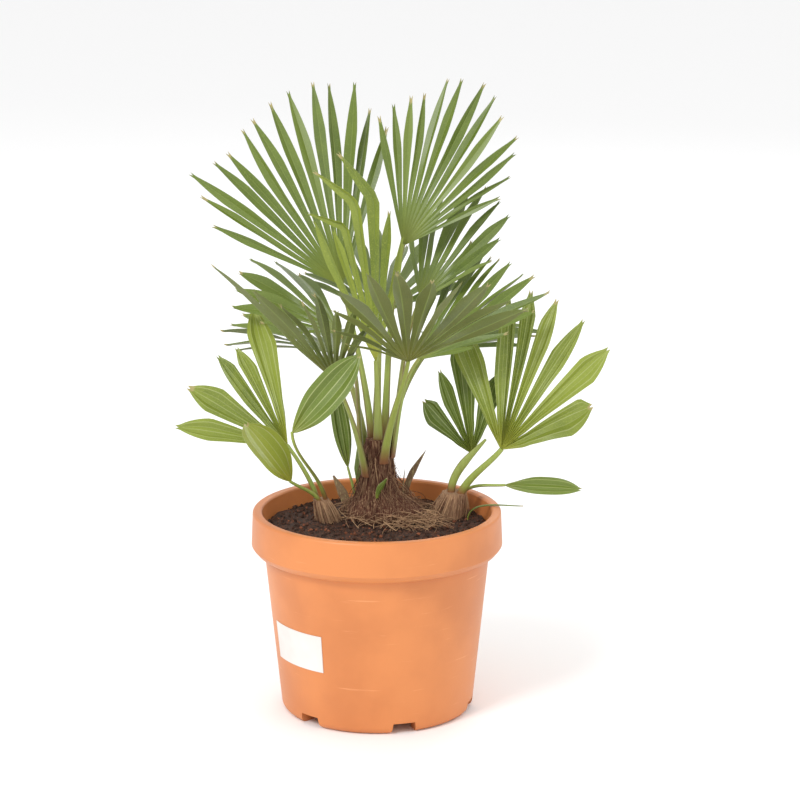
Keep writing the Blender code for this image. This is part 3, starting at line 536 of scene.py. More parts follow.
def leaflet(batch, spec, lobe, rooms, bent, pleats, look, thickness, lone):
    """One folded leaflet. Its path turns by theta(r); a point at share u across stands at
    path(r) + across(r) u half(r) + outer(r) (fold |u| half(r) + pleat wave), where across and
    outer are the side way and the normal turned by the leaflet's twist. half(r) is the room
    between neighbours, then 1 - x^3 of the widest; a lone leaf swells by a sine instead. The
    tip is notched by drawing its middle back."""
    along, side, normal = blade_frame(spec)
    angle, length, width = lobe
    turn, extra = bent
    shade, lean, lift, twist = look
    t = np.linspace(0.0, 1.0, LEAF_ROWS)
    r = t * (length + extra)
    split = spec["split"] * (1.0 if pleats > 1 else OPEN_SHARE)
    past = t - split
    leaning = ease(past / (1 - split)) ** 2
    theta = math.radians(angle) + lean * leaning
    if extra:
        theta = theta + math.radians(turn) * ease((r - length * BEND_START) / BEND_RUN)
    middle = (theta[1:] + theta[:-1]) / 2
    way = along * np.cos(middle)[:, None] + side * np.sin(middle)[:, None]
    path = np.concatenate([np.zeros((1, 3)), np.cumsum(way * np.diff(r)[:, None], 0)]) + spec["hub"]
    path = path + normal * (lift * length * leaning)[:, None]
    path[:, 2] -= spec.get("sag", 0.0) * r * r / length
    cross = side * np.cos(theta)[:, None] - along * np.sin(theta)[:, None]
    forward = along * np.cos(theta)[:, None] + side * np.sin(theta)[:, None]
    swell = np.sin(np.pi / 2 * np.clip(t / BELLY, 0, 1)) ** LONE_ROUNDNESS if lone else FULLNESS
    own = width / 2 * swell * (1 - np.clip((t - BELLY) / (1 - BELLY), 0, 1) ** TIP_FULLNESS)
    own = np.maximum(own, TIP_HALF_WIDTH)
    slit = 1 - SLIT * ease(past / SLIT_RUN)
    u = PLEATED_COLUMNS if pleats > 1 else PLAIN_COLUMNS
    room = np.where(u < 0, rooms[0], rooms[1])[None, :] * (r * slit)[:, None]
    half = np.minimum(own[:, None], room)
    a = half * u[None, :]
    wave = PLEAT_RISE * np.cos(np.pi * u * pleats) * ease(t / PLEAT_START)[:, None] * (pleats > 1)
    free = ease(past / FREE_RUN)
    raised = (FOLD + DEEPER_FOLD * free)[:, None] * np.abs(a) + wave * ease((1 - t) / PLEAT_END)[:, None]
    back = -TIP_NOTCH * (1 - np.abs(u))[None, :] * ease((t - 1) / NOTCH_RUN + 1)[:, None]
    cosine, sine = np.cos(twist * free)[:, None], np.sin(twist * free)[:, None]
    across = cross * cosine + normal * sine
    outer = normal * cosine - cross * sine
    grid = path[:, None] + across[:, None] * a[..., None] + forward[:, None] * back[..., None]
    grid = grid + outer[:, None] * raised[..., None]
    thick = (thickness / 2 * (1 - EDGE_THINNING * u * u))[None, :, None] * outer[:, None]
    batch.add(thin_body(grid + thick, grid - thick), np.tile(np.repeat(t, len(u)), 2),
              np.tile(u * pleats / 2, 2 * LEAF_ROWS), shade, np.repeat([0.0, 1.0], a.size))


def fan(batch, name, spec, lobes, pleats, thickness):
    """All leaflets of one blade, each given the room up to half way to its neighbours."""
    chance = random.Random(name)
    angles = [math.radians(lobe[0]) for lobe in lobes]
    ends = [lobes[k][2] / 2 / (BELLY * lobes[k][1]) for k in (0, -1)]
    bounds = [(a + b) / 2 for a, b in zip(angles, angles[1:])]
    bounds = [angles[0] - ends[0], *bounds, angles[-1] + ends[1]]
    lone = len(lobes) == 1
    for index, lobe in enumerate(lobes):
        rooms = (math.tan(angles[index] - bounds[index]), math.tan(bounds[index + 1] - angles[index]))
        look = (chance.random(), chance.uniform(-LEAN, LEAN), chance.uniform(*LIFT),
                chance.uniform(-TWIST, TWIST) * (PLEATED_TWIST if pleats > 1 else 1.0))
        bent = BENT_ENDS.get((name, index), (0, 0))
        leaflet(batch, spec, lobe, (LONE_ROOM, LONE_ROOM) if lone else rooms, bent, pleats, look, thickness,
                lone)


def add_node(tree, kind, inputs=None, **settings):
    """A node with its settings and inputs; an input that is a socket is linked."""
    made = tree.nodes.new(kind)
    for key, value in settings.items():
        setattr(made, key, value)
    for key, value in (inputs or {}).items():
        if isinstance(value, bpy.types.NodeSocket):
            tree.links.new(value, made.inputs[key])
        else:
            made.inputs[key].default_value = value
    return made


def mixed(tree, factor, first, second, blend="MIX"):
    """Colour mix by a factor."""
    return add_node(tree, "ShaderNodeMix", {0: factor, 6: first, 7: second}, data_type="RGBA",
                    blend_type=blend).outputs[2]


def tinted(tree, colour, red, green, blue):
    """A colour with each channel multiplied."""
    return mixed(tree, 1.0, colour, (red, green, blue, 1.0), "MULTIPLY")


def ranged(tree, value, low, high, start=0.0, end=1.0):
    """Value carried from low..high to start..end, smoothly and held at both ends."""
    return add_node(tree, "ShaderNodeMapRange", {"Value": value, "From Min": low, "From Max": high,
                    "To Min": start, "To Max": end}, interpolation_type="SMOOTHSTEP").outputs["Result"]


def worked(tree, operation, first, second):
    """Result of one sum on two values."""
    return add_node(tree, "ShaderNodeMath", {0: first, 1: second}, operation=operation).outputs[0]


def noise(tree, scale, stretch=(1, 1, 1), detail=4.0):
    """Noise over Object coordinates, stretched along the axes."""
    place = add_node(tree, "ShaderNodeTexCoord").outputs["Object"]
    mapping = add_node(tree, "ShaderNodeMapping", {"Vector": place, "Scale": stretch})
    return add_node(tree, "ShaderNodeTexNoise",
                    {"Vector": mapping.outputs[0], "Scale": scale, "Detail": detail}).outputs[0]


def leaf_shares(tree):
    """Outputs with the shares along and across that UV map leaf holds."""
    spread = add_node(tree, "ShaderNodeUVMap", uv_map="leaf")
    return add_node(tree, "ShaderNodeSeparateXYZ", {0: spread.outputs[0]}).outputs[:2]


def point_value(tree, name):
    """Output with one of the values stored at the mesh's points."""
    return add_node(tree, "ShaderNodeAttribute", attribute_name=name).outputs["Fac"]


def open_group(name, colours):
    """Empty node group with colour inputs, and outputs Color and Height."""
    tree = bpy.data.node_groups.new(name, "ShaderNodeTree")
    for label in colours:
        tree.interface.new_socket(label, in_out="INPUT", socket_type="NodeSocketColor")
    tree.interface.new_socket("Color", in_out="OUTPUT", socket_type="NodeSocketColor")
    tree.interface.new_socket("Height", in_out="OUTPUT", socket_type="NodeSocketFloat")
    return tree, tree.nodes.new("NodeGroupInput").outputs


def closed_group(tree, colour, height):
    """The group with its colour and height led out."""
    add_node(tree, "NodeGroupOutput", {"Color": colour, "Height": height})
    return tree


def leaf_group():
    """Leaf: upper or under colour, darker and lighter by leaflet and by noise, pale scurf,
    yellow near the hub, ribs where across is a whole number, fine veins and dry tips."""
    tree, given = open_group("leaf_look", ("Top", "Under", "Rib", "Dry"))
    along, across = leaf_shares(tree)
    base = mixed(tree, point_value(tree, "under"), given["Top"], given["Under"])
    patches = noise(tree, 55.0)
    dark = tinted(tree, base, 0.62, 0.66, 0.60)
    light = tinted(tree, base, 1.22, 1.15, 1.05)
    tone = mixed(tree, point_value(tree, "shade"), dark, light)
    tone = mixed(tree, ranged(tree, patches, 0.35, 0.7, 0.0, 0.45), tone, light)
    scurf = tinted(tree, base, 1.55, 1.42, 1.75)
    tone = mixed(tree, ranged(tree, noise(tree, 1300.0), 0.50, 0.72, 0.0, 0.8), tone, scurf)
    yellow = tinted(tree, base, 1.65, 1.25, 0.75)
    tone = mixed(tree, ranged(tree, along, 0.30, 0.0, 0.0, 0.65), tone, yellow)
    fold = worked(tree, "PINGPONG", across, 0.5)
    veins = worked(tree, "PINGPONG", across, VEIN_STEP)
    tone = mixed(tree, ranged(tree, veins, 0.0, VEIN_STEP, 0.22, 0.0), tone, dark)
    tone = mixed(tree, ranged(tree, fold, 0.055, 0.015, 0.0, 0.75), tone, given["Rib"])
    tone = mixed(tree, ranged(tree, fold, 0.455, 0.495, 0.0, 0.45), tone, given["Rib"])
    ends = worked(tree, "ADD", along, ranged(tree, patches, 0.2, 0.8, -0.05, 0.05))
    tone = mixed(tree, ranged(tree, ends, 0.975, 1.0, 0.0, 0.8), tone, given["Dry"])
    return closed_group(tree, tone, veins)


def fibre_group():
    """Fibre: dark to light by noise drawn out along Z, with lighter strands by piece."""
    tree, given = open_group("fibre_look", ("Dark", "Light"))
    strands = noise(tree, 1.0, (900.0, 900.0, 90.0), 6.0)
    tone = mixed(tree, ranged(tree, strands, 0.46, 0.80), given["Dark"], given["Light"])
    tone = mixed(tree, point_value(tree, "shade"), tone, given["Light"])
    return closed_group(tree, tone, strands)


def stalk_group():
    """Petiole: foot colour turning to the stalk colour, browner along both edges."""
    tree, given = open_group("stalk_look", ("Stalk", "Foot", "Edge"))
    along, across = leaf_shares(tree)
    tone = mixed(tree, ranged(tree, along, 0.0, 0.20), given["Foot"], given["Stalk"])
    tone = mixed(tree, point_value(tree, "shade"), tone, given["Edge"])
    tone = mixed(tree, ranged(tree, across, 0.80, 1.0, 0.0, 0.6), tone, given["Edge"])
    grain = noise(tree, 1.0, (500.0, 500.0, 60.0))
    dark = tinted(tree, tone, 0.6, 0.6, 0.6)
    return closed_group(tree, mixed(tree, ranged(tree, grain, 0.3, 0.7, 0.0, 0.3), tone, dark), grain)


def soil_group():
    """Soil: each granule's own shade runs from dark to warm, broken up by fine noise."""
    tree, given = open_group("soil_look", ("Dark", "Warm"))
    crumbs = noise(tree, 420.0, detail=6.0)
    warmth = ranged(tree, point_value(tree, "shade"), 0.55, 1.0)
    tone = mixed(tree, warmth, given["Dark"], given["Warm"])
    tone = mixed(tree, ranged(tree, crumbs, 0.4, 0.75, 0.0, 0.35), tone, given["Warm"])
    return closed_group(tree, tone, crumbs)


def plastic_group():
    """Pot plastic: faint cloudiness, and pale scuffs where stretched noise is high."""
    tree, given = open_group("plastic_look", ("Plastic", "Scuff"))
    darker = tinted(tree, given["Plastic"], 0.86, 0.82, 0.80)
    tone = mixed(tree, ranged(tree, noise(tree, 14.0), 0.35, 0.65), darker, given["Plastic"])
    scratch = noise(tree, 1.0, (30.0, 30.0, 420.0), 8.0)
    tone = mixed(tree, ranged(tree, scratch, 0.64, 0.78, 0.0, 0.5), tone, given["Scuff"])
    return closed_group(tree, tone, noise(tree, 600.0))


def finish_from(name, group_maker, colours, roughness, relief):
    """A Principled material whose colour and bump come from one of the look groups."""
    made = bpy.data.materials.new(name)
    made.use_nodes = True
    tree = made.node_tree
    shader = tree.nodes["Principled BSDF"]
    group_name = group_maker.__name__.replace("_group", "_look")
    look = add_node(tree, "ShaderNodeGroup", node_tree=bpy.data.node_groups.get(group_name) or group_maker())
    for label, colour in colours.items():
        look.inputs[label].default_value = (*colour, 1.0)
    bump = add_node(tree, "ShaderNodeBump",
                    {"Height": look.outputs["Height"], "Strength": relief, "Distance": BUMP_DEPTH})
    tree.links.new(look.outputs["Color"], shader.inputs["Base Color"])
    tree.links.new(bump.outputs[0], shader.inputs["Normal"])
    shader.inputs["Roughness"].default_value = roughness
    return made


def arc(centre, radius, start, end, steps):
    """Points of (radius, z) on an arc about a centre, angles in degrees."""
    points = []
    for step in range(steps + 1):
        angle = math.radians(start + (end - start) * step / steps)
        points.append((centre[0] + radius * math.cos(angle), centre[1] + radius * math.sin(angle)))
    return points


def wall_radius(z):
    """Radius of the pot's outer wall at a height under the collar."""
    slope = (WALL_TOP_RADIUS - WALL_LOW_RADIUS) / (COLLAR_LOW_Z - WALL_LOW_Z)
    return WALL_LOW_RADIUS + slope * (z - WALL_LOW_Z)


def inner_radius(z):
    """Radius of the pot's inner wall at a height."""
    if z >= INNER_STEP_Z:
        return LIP_RADIUS - WALL_THICKNESS * 0.5 * (POT_HEIGHT - z) / (POT_HEIGHT - INNER_STEP_Z)
    return wall_radius(z) - WALL_THICKNESS


def pot_profile():
    """(radius, z) from the axis underneath, out over the foot ring, up the wall and the
    collar, over the rim, and down inside to the axis on the floor."""
    ring_inner = FOOT_RADIUS - FOOT_RING_WIDTH
    floor_top = FLOOR_UNDER_Z + FLOOR_THICKNESS
    profile = [(AXIS_GAP, 0.0), (CENTRE_FOOT_RADIUS, 0.0), (CENTRE_FOOT_RADIUS, FLOOR_UNDER_Z),
               (ring_inner, FLOOR_UNDER_Z), (ring_inner, 0.0), (FOOT_RADIUS, 0.0)]
    profile += arc((FOOT_RADIUS, WALL_LOW_Z), WALL_LOW_RADIUS - FOOT_RADIUS, -70, 0, 6)
    profile += [(wall_radius(z), z) for z in (NOTCH_HEIGHT + CUTTER_OVERRUN, COLLAR_LOW_Z - CUTTER_OVERRUN)]
    profile += [(WALL_TOP_RADIUS, COLLAR_LOW_Z), (COLLAR_LOW_RADIUS, COLLAR_LOW_Z + COLLAR_UNDER_RISE)]
    profile += arc((COLLAR_LOW_RADIUS, COLLAR_EDGE_Z), COLLAR_EDGE_Z - COLLAR_LOW_Z, -60, -30, 2)
    profile += [(COLLAR_RADIUS - COLLAR_ROUND_IN, COLLAR_EDGE_Z - COLLAR_ROUND_DROP),
                (COLLAR_RADIUS, COLLAR_EDGE_Z)]
    profile += arc((RIM_RADIUS - RIM_ROUND, POT_HEIGHT - RIM_ROUND), RIM_ROUND, 0, 90, 8)
    profile += arc((LIP_RADIUS + RIM_ROUND, POT_HEIGHT - RIM_ROUND), RIM_ROUND, 90, 180, 8)
    profile += [(inner_radius(z), z) for z in (INNER_STEP_Z, INNER_STEP_Z - INNER_STEP_DROP, floor_top)]
    return np.array(profile + [(AXIS_GAP, floor_top)])


def pot_cutter():
    """Object with the blocks that cut the drain notches and the rods that cut the holes."""
    tool = Batch()
    half = NOTCH_WIDTH / 2
    outline = np.array([(half, -CUTTER_OVERRUN), (half * NOTCH_TOP_SHARE, NOTCH_HEIGHT),
                        (-half * NOTCH_TOP_SHARE, NOTCH_HEIGHT), (-half, -CUTTER_OVERRUN)])
    reaches = (FOOT_RADIUS - FOOT_RING_WIDTH - 2 * CUTTER_OVERRUN, WALL_LOW_RADIUS + 3 * CUTTER_OVERRUN)
    levels = np.array([[FLOOR_UNDER_Z - CUTTER_OVERRUN], [FLOOR_UNDER_Z + 2 * CUTTER_OVERRUN]])
    for index in range(NOTCH_COUNT):
        way = NOTCH_TURN + 2 * math.pi * index / NOTCH_COUNT
        block = [np.stack([reach * math.cos(way) - outline[:, 0] * math.sin(way),
                           reach * math.sin(way) + outline[:, 0] * math.cos(way),
                           outline[:, 1]], -1) for reach in reaches]
        tool.add(ring_body(np.stack(block)))
        way += math.pi / NOTCH_COUNT
        x, y = DRAIN_RING_RADIUS * math.cos(way), DRAIN_RING_RADIUS * math.sin(way)
        tool.add(ring_body(turned(DRAIN_RADIUS, full_turn(DRAIN_SIDES), levels, x, y)))
    return put_in_scene("pot_cutters", tool.mesh("pot_cutters"))


def build_pot(sizes, colours):
    """Pot turned from its profile, with drain notches and holes cut by one Boolean."""
    profile = pot_profile()
    batch = Batch()
    batch.add(ring_body(turned(profile[:, :1], full_turn(POT_SIDES), profile[:, 1:])))
    plastic = finish_from("pot_plastic", plastic_group,
                          {"Plastic": colours.pot, "Scuff": colours.pot_scuff}, 0.42, 0.12)
    pot = batch.make("pot_body", plastic, ("pot",), POT_SHARP)
    cutter = pot_cutter()
    step = pot.modifiers.new("cut", "BOOLEAN")
    step.operation = "DIFFERENCE"
    step.solver = "EXACT"
    step.object = cutter
    bpy.context.view_layer.update()
    graph = bpy.context.evaluated_depsgraph_get()
    pot.data = bpy.data.meshes.new_from_object(pot.evaluated_get(graph))
    pot.modifiers.clear()
    bpy.data.objects.remove(cutter, do_unlink=True)
    shade_from(pot.data, POT_SHARP)


def build_sticker(sizes, colours):
    """Bare sticker: wall radius(z) at turns and heights of a grid, stood off by its thickness."""
    turns = np.radians(np.linspace(*STICKER_TURNS, 25))[None, :]
    z = np.linspace(*STICKER_HEIGHTS, 9)[:, None]
    outside, inside = [turned(wall_radius(z) + STICKER_THICKNESS * share, turns, z) for share in (2, 0.2)]
    batch = Batch()
    batch.add(thin_body(outside, inside))
    paper = finish_from("sticker_paper", plastic_group,
                        {"Plastic": colours.sticker, "Scuff": colours.sticker}, 0.55, 0.05)
    batch.make("sticker", paper, (), 40)


def build_soil(sizes, colours):
    """Plug of rings whose top rises and falls by a sum of sines, with loose granules: one
    twenty-sided lump, scaled and moved to each place."""
    rng = np.random.default_rng(11)
    turn = full_turn(SOIL_SIDES)
    radii = np.concatenate([[SOIL_LOW_RADIUS, SOIL_MIDDLE_RADIUS, SOIL_RADIUS],
                            np.linspace(SOIL_RADIUS * 0.99, 0.0015, SOIL_TOP_RINGS)])
    heights = [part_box("soil")[0][2], SOIL_MIDDLE_Z, SOIL_Z - 0.002, *[SOIL_Z] * SOIL_TOP_RINGS]
    x = radii[:, None] * np.cos(turn)
    y = radii[:, None] * np.sin(turn)
    lumps = np.sin(x * 410 + np.sin(y * 230) * 2) * np.sin(y * 370 + np.sin(x * 290) * 2) - 0.6
    z = np.array(heights)[:, None] + SOIL_LUMP * lumps * (np.arange(len(heights)) > 2)[:, None]
    batch = Batch()
    batch.add(ring_body(np.stack([x, y, z], -1)), shade=0.35)
    count = sizes.granules
    g = (1 + 5 ** 0.5) / 2
    lump = np.array([(-1, g, 0), (1, g, 0), (-1, -g, 0), (1, -g, 0), (0, -1, g), (0, 1, g), (0, -1, -g),
                     (0, 1, -g), (g, 0, -1), (g, 0, 1), (-g, 0, -1), (-g, 0, 1)]) / 1.9
    sides = np.array([(0, 11, 5), (0, 5, 1), (0, 1, 7), (0, 7, 10), (0, 10, 11), (1, 5, 9), (5, 11, 4),
                      (11, 10, 2), (10, 7, 6), (7, 1, 8), (3, 9, 4), (3, 4, 2), (3, 2, 6), (3, 6, 8),
                      (3, 8, 9), (4, 9, 5), (2, 4, 11), (6, 2, 10), (8, 6, 7), (9, 8, 1)])
    radius = GRANULE_RADIUS + GRANULE_GROWTH * rng.random(count) ** 2
    scale = radius[:, None, None] * rng.uniform(*GRANULE_STRETCH, (count, 12, 3))
    distance = (SOIL_RADIUS - 0.002) * np.sqrt(rng.random(count))
    place = turned(distance, 2 * np.pi * rng.random(count), SOIL_Z)
    points = (lump * scale + place[:, None]).reshape(-1, 3)
    faces = (sides[None] + 12 * np.arange(count)[:, None, None]).reshape(-1, 3)
    batch.add((points, [faces]), shade=np.repeat(rng.random(count) ** 1.5, 12))
    earth = finish_from("soil_crumbs", soil_group,
                        {"Dark": colours.soil, "Warm": colours.soil_warm}, 0.95, 0.8)
    batch.make("soil_surface", earth, ("soil",), 30)


def trunk_section(height):
    """Centre and half widths of the trunk's oval section at heights above its foot."""
    rows = np.array(TRUNK_RINGS + ((TRUNK_HEIGHT, TRUNK_TOP_RADIUS, TRUNK_TOP_RADIUS, 1.0),))
    half_x, half_y, lean = [np.interp(height, rows[:, 0], rows[:, k]) for k in (1, 2, 3)]
    return (FLARE_CENTRE[0] + (TRUNK_TOP[0] - FLARE_CENTRE[0]) * lean,
            FLARE_CENTRE[1] + (TRUNK_TOP[1] - FLARE_CENTRE[1]) * lean, half_x, half_y)


def bark_rings(heights, turns):
    """Points on the trunk: oval section, less a relief of sines that run up the trunk."""
    x, y, half_x, half_y = [v[:, None] for v in trunk_section(heights)]
    up = heights[:, None]
    relief = 0.5 * np.sin(turns * 17 + up * 90) + 0.3 * np.sin(turns * 31 - up * 260)
    relief = relief + 0.35 * np.sin(turns * 7 + np.sin(up * 420) * 1.5)
    swell = 1 - BARK_RELIEF * (1 + relief) / 2
    z = np.broadcast_to(TRUNK_BASE_Z + up, swell.shape)
    return np.stack([x + half_x * swell * np.cos(turns), y + half_y * swell * np.sin(turns), z], -1)


def strand(batch, start, end, bow, radius, shade):
    """A thin fibre on a cubic curve from start to end, pushed out by bow."""
    knots = (start, start + (end - start) * 0.3 + bow, start + (end - start) * 0.7 + bow, end)
    radii = (radius, radius, radius * 0.4)
    limb(batch, knots, radii, radii, STRAND_ACROSS, shade, rows=8, sides=4)


def wrap_fibres(batch, rng, count):
    """Fibres that start on the trunk and run down and round it, lifted most near its foot."""
    high = rng.uniform(0.004, TRUNK_HEIGHT, count)
    drop = rng.uniform(*FIBRE_DROP, count)
    angle = rng.uniform(0, 2 * np.pi, count)
    swing = rng.uniform(-FIBRE_SWING, FIBRE_SWING, count)
    for k in range(count):
        levels = np.array([high[k], max(0.0005, high[k] - drop[k])])
        ends = bark_rings(levels, np.array([[angle[k]], [angle[k] + swing[k]]]))
        out = turned(1.0, angle[k], 0.3)
        lift = 0.0002 + rng.random() ** 3 * (LOW_LIFT if high[k] < LOW_FIBRES else HIGH_LIFT)
        strand(batch, ends[0, 0], ends[1, 0] + out * lift, out * lift * 1.3, rng.uniform(0.00014, 0.00034),
               0.7 * rng.random() ** 3)


def curl_fibres(batch, rng, count):
    """Bowed fibres on the soil, every other one in a patch before the trunk, the rest round
    its flare."""
    for k in range(count):
        turn = rng.uniform(0, 2 * np.pi)
        if k % 2:
            middle = np.array([rng.uniform(*NEST_X), rng.uniform(*NEST_Y), TRUNK_BASE_Z])
        else:
            ring = rng.uniform(0.85, 1.35)
            middle = np.array([FLARE_CENTRE[0] + TRUNK_RINGS[0][1] * ring * math.cos(turn),
                               FLARE_CENTRE[1] + TRUNK_RINGS[0][2] * ring * math.sin(turn), TRUNK_BASE_Z])
        middle[2] += rng.random() ** 2 * NEST_HEIGHT
        reach = rng.uniform(*NEST_REACH)
        facing = rng.uniform(0, 2 * np.pi)
        way = turned(1.0, facing, rng.uniform(-0.1, 0.3)) * reach
        bow = turned(1.0, facing + np.pi / 2, 0.6) * reach * rng.uniform(0.2, 0.9)
        strand(batch, middle - way, middle + way, bow, rng.uniform(0.00016, 0.00036), rng.uniform(0.3, 1.0))


def build_trunk(sizes, colours):
    """Trunk and sucker stems with bark relief, wrapped in loose fibres that run down them."""
    rng = np.random.default_rng(7)
    fibre = finish_from("trunk_fibre", fibre_group,
                        {"Dark": colours.fibre, "Light": colours.fibre_light}, 0.9, 1.0)
    turns = full_turn(BARK_SIDES)[None, :]
    heights = np.concatenate([np.linspace(0, 0.03, 30), np.linspace(0.031, TRUNK_HEIGHT, 40)])
    batch = Batch()
    batch.add(ring_body(bark_rings(heights, turns)))
    wrap_fibres(batch, rng, sizes.fibres)
    curl_fibres(batch, rng, sizes.nest)
    batch.make("trunk_bark", fibre, ("trunk",), 50)
    for name, spec in SUCKERS.items():
        batch = Batch()
        base = np.array([*spec["foot"], TRUNK_BASE_Z])
        tip = np.array(spec["top"])
        foot_radius, top_radius = spec["radii"]
        t = np.linspace(0, 1, 24)[:, None]
        ridges = 1 - BARK_RELIEF * (1 + np.sin(turns * 9 + t * 5)) / 2
        x, y, z = np.split(base + (tip - base) * t, 3, 1)
        batch.add(ring_body(turned((foot_radius + (top_radius - foot_radius) * t) * ridges, turns, z, x, y)),
                  shade=0.45)
        for _ in range(sizes.fibres // 6):
            out = turned(1.0, rng.uniform(0, 2 * np.pi), 0.0)
            low = base + out * foot_radius * rng.uniform(0.95, 1.4)
            strand(batch, tip + out * top_radius * 0.9, low, out * rng.uniform(0.0, 0.0015),
                   rng.uniform(0.0002, 0.0005), rng.random())
        batch.make(name + "_bark", fibre, (name + "_stem",), 50)


def leaf_finish(colours, kind):
    """The leaf material: crown and spear have hardly paler ribs, sucker and shade pale ones."""
    top, under, rib = {"crown": (colours.leaf_top, colours.leaf_under, colours.rib_soft),
                       "spear": (colours.leaf_young, colours.leaf_young, colours.rib_soft),
                       "sucker": (colours.leaf_young, colours.leaf_young, colours.rib),
                       "shade": (colours.leaf_top, colours.leaf_top, colours.rib)}[kind]
    name = kind + "_leaf_skin"
    return bpy.data.materials.get(name) or finish_from(name, leaf_group, {
        "Top": top, "Under": under, "Rib": rib, "Dry": colours.dry_tip}, 0.40, 0.35)


def stalk_finish(colours):
    """The petiole material."""
    return bpy.data.materials.get("petiole_skin") or finish_from("petiole_skin", stalk_group, {
        "Stalk": colours.stalk, "Foot": colours.stalk_foot, "Edge": colours.stalk_edge}, 0.42, 0.2)


def crown_knots(spec):
    """Knots of a crown petiole, run on into the trunk and up to the hub, and its across way."""
    along = blade_frame(spec)[0]
    hub = np.array(spec["hub"])
    if "seat" in spec:
        outward = np.array([*spec["seat"], 0.0])
        start = TRUNK_CENTRE + outward - UP * FOOT_SUNK
        lean = TOP_LEAN
    else:
        turn, z = math.radians(spec["base"][0]), spec["base"][1]
        outward = turned(1.0, turn, 0.0)
        start = np.array([TRUNK_TOP[0], TRUNK_TOP[1], z - FOOT_SUNK])
        start = start + outward * (trunk_section(z - TRUNK_BASE_Z)[2] + PETIOLE_DEPTHS[0] * 0.6)
        lean = SIDE_LEAN
    rise = np.linalg.norm(hub - start)
    way_in = unit(along * CROWN_TURN_IN + unit(hub - start) * (1 - CROWN_TURN_IN))
    return (start, start + (UP + unit(outward) * lean) * rise * FOOT_KNOT,
            hub - way_in * rise * HUB_KNOT, hub + way_in * 0.0015), unit(np.cross(outward, UP))


def build_crown(sizes, colours):
    """Eleven fronds: a fan of fine leaflets for each blade, and all their petioles."""
    stalks = Batch()
    chance = random.Random(4)
    for name, spec in CROWN.items():
        young = name == "spear"
        full = SPEAR_FULLNESS if young else 1.0
        lobes = [(angle, length, width * full) for angle, length, width in crown_lobes(spec)]
        batch = Batch()
        fan(batch, name, spec, lobes, 1, sizes.leaf_thickness)
        batch.make("frond_" + name + "_leaflets", leaf_finish(colours, "spear" if young else "crown"),
                   ("frond_" + name + "_blade",), 20)
        knots, across = crown_knots(spec)
        limb(stalks, knots, (FOOT_WIDTH,) + PETIOLE_WIDTHS, (FOOT_DEPTH,) + PETIOLE_DEPTHS, across,
             chance.uniform(0, 0.45))
    stalks.make("crown_petioles", stalk_finish(colours),
                tuple("frond_" + name + "_petiole" for name in CROWN), 60)


def piece_foot(spec, node):
    """Where a small piece stands: its seat's place, at the height of its CAD node's foot."""
    carrier = SUCKERS[spec["stem"]]["top"] if spec.get("stem") else TRUNK_TOP
    return np.array([carrier[0] + spec["seat"][0], carrier[1] + spec["seat"][1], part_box(node)[0][2] - 0.001])


def build_suckers(sizes, colours):
    """Sucker fronds: pleated leaflets with pale ribs, and their petioles."""
    stalks = Batch()
    for name, spec in SHOOTS.items():
        batch = Batch()
        fan(batch, name, spec, spec["lobes"], PLEAT_COUNT, sizes.leaf_thickness)
        finish = leaf_finish(colours, "sucker" if name in YOUNG_SHOOTS else "shade")
        batch.make(name + "_leaflets", finish, (name + "_blade",), 20)
        along, side, _ = blade_frame(spec)
        hub = np.array(spec["hub"])
        start = piece_foot(spec, name + "_petiole")
        rise = np.linalg.norm(hub - start)
        direct = unit(hub - start)
        way_in = unit(along * SHOOT_TURN_IN + direct * (1 - SHOOT_TURN_IN))
        lift = unit(direct + UP * SHOOT_LIFT)
        knots = (start, start + lift * rise * FOOT_KNOT, hub - way_in * rise * HUB_KNOT, hub + way_in * 0.001)
        limb(stalks, knots, spec["petiole"], np.multiply(spec["petiole"], SHOOT_DEPTH_SHARES), side, 0.0)
    stalks.make("sucker_petioles", stalk_finish(colours),
                tuple(name + "_petiole" for name in SHOOTS), 60)


def build_small_bits(sizes, colours):
    """Dry sheaths, a spike, a grass blade and tiny leaves, each a bent tapering strip."""
    dry = finish_from("dry_sheath", fibre_group, {"Dark": colours.dry, "Light": colours.dry_tip}, 0.8, 0.5)
    for name, spec in SMALL_BITS.items():
        start = piece_foot(spec, name)
        tip = np.array(spec["tip"])
        span = tip - start
        lift = UP * np.linalg.norm(span) * BIT_LIFT
        across = np.array([1.0, 0, 0]) if abs(span[0]) < abs(span[2]) else unit([0.2, 1.0, 0])
        batch = Batch()
        dead = name.startswith("dead")
        widths = np.array(spec["widths"]) * (DEAD_TAPER if dead else 1)
        limb(batch, (start, start + lift, start + span * BIT_BEND + lift * BIT_BEND_LIFT, tip),
             widths, spec["depths"], across, 0.1)
        sheath = name == "right_sucker_sheath"
        finish = dry if dead else stalk_finish(colours) if sheath else leaf_finish(colours, "shade")
        batch.make(name + "_piece", finish, (name,), 60)


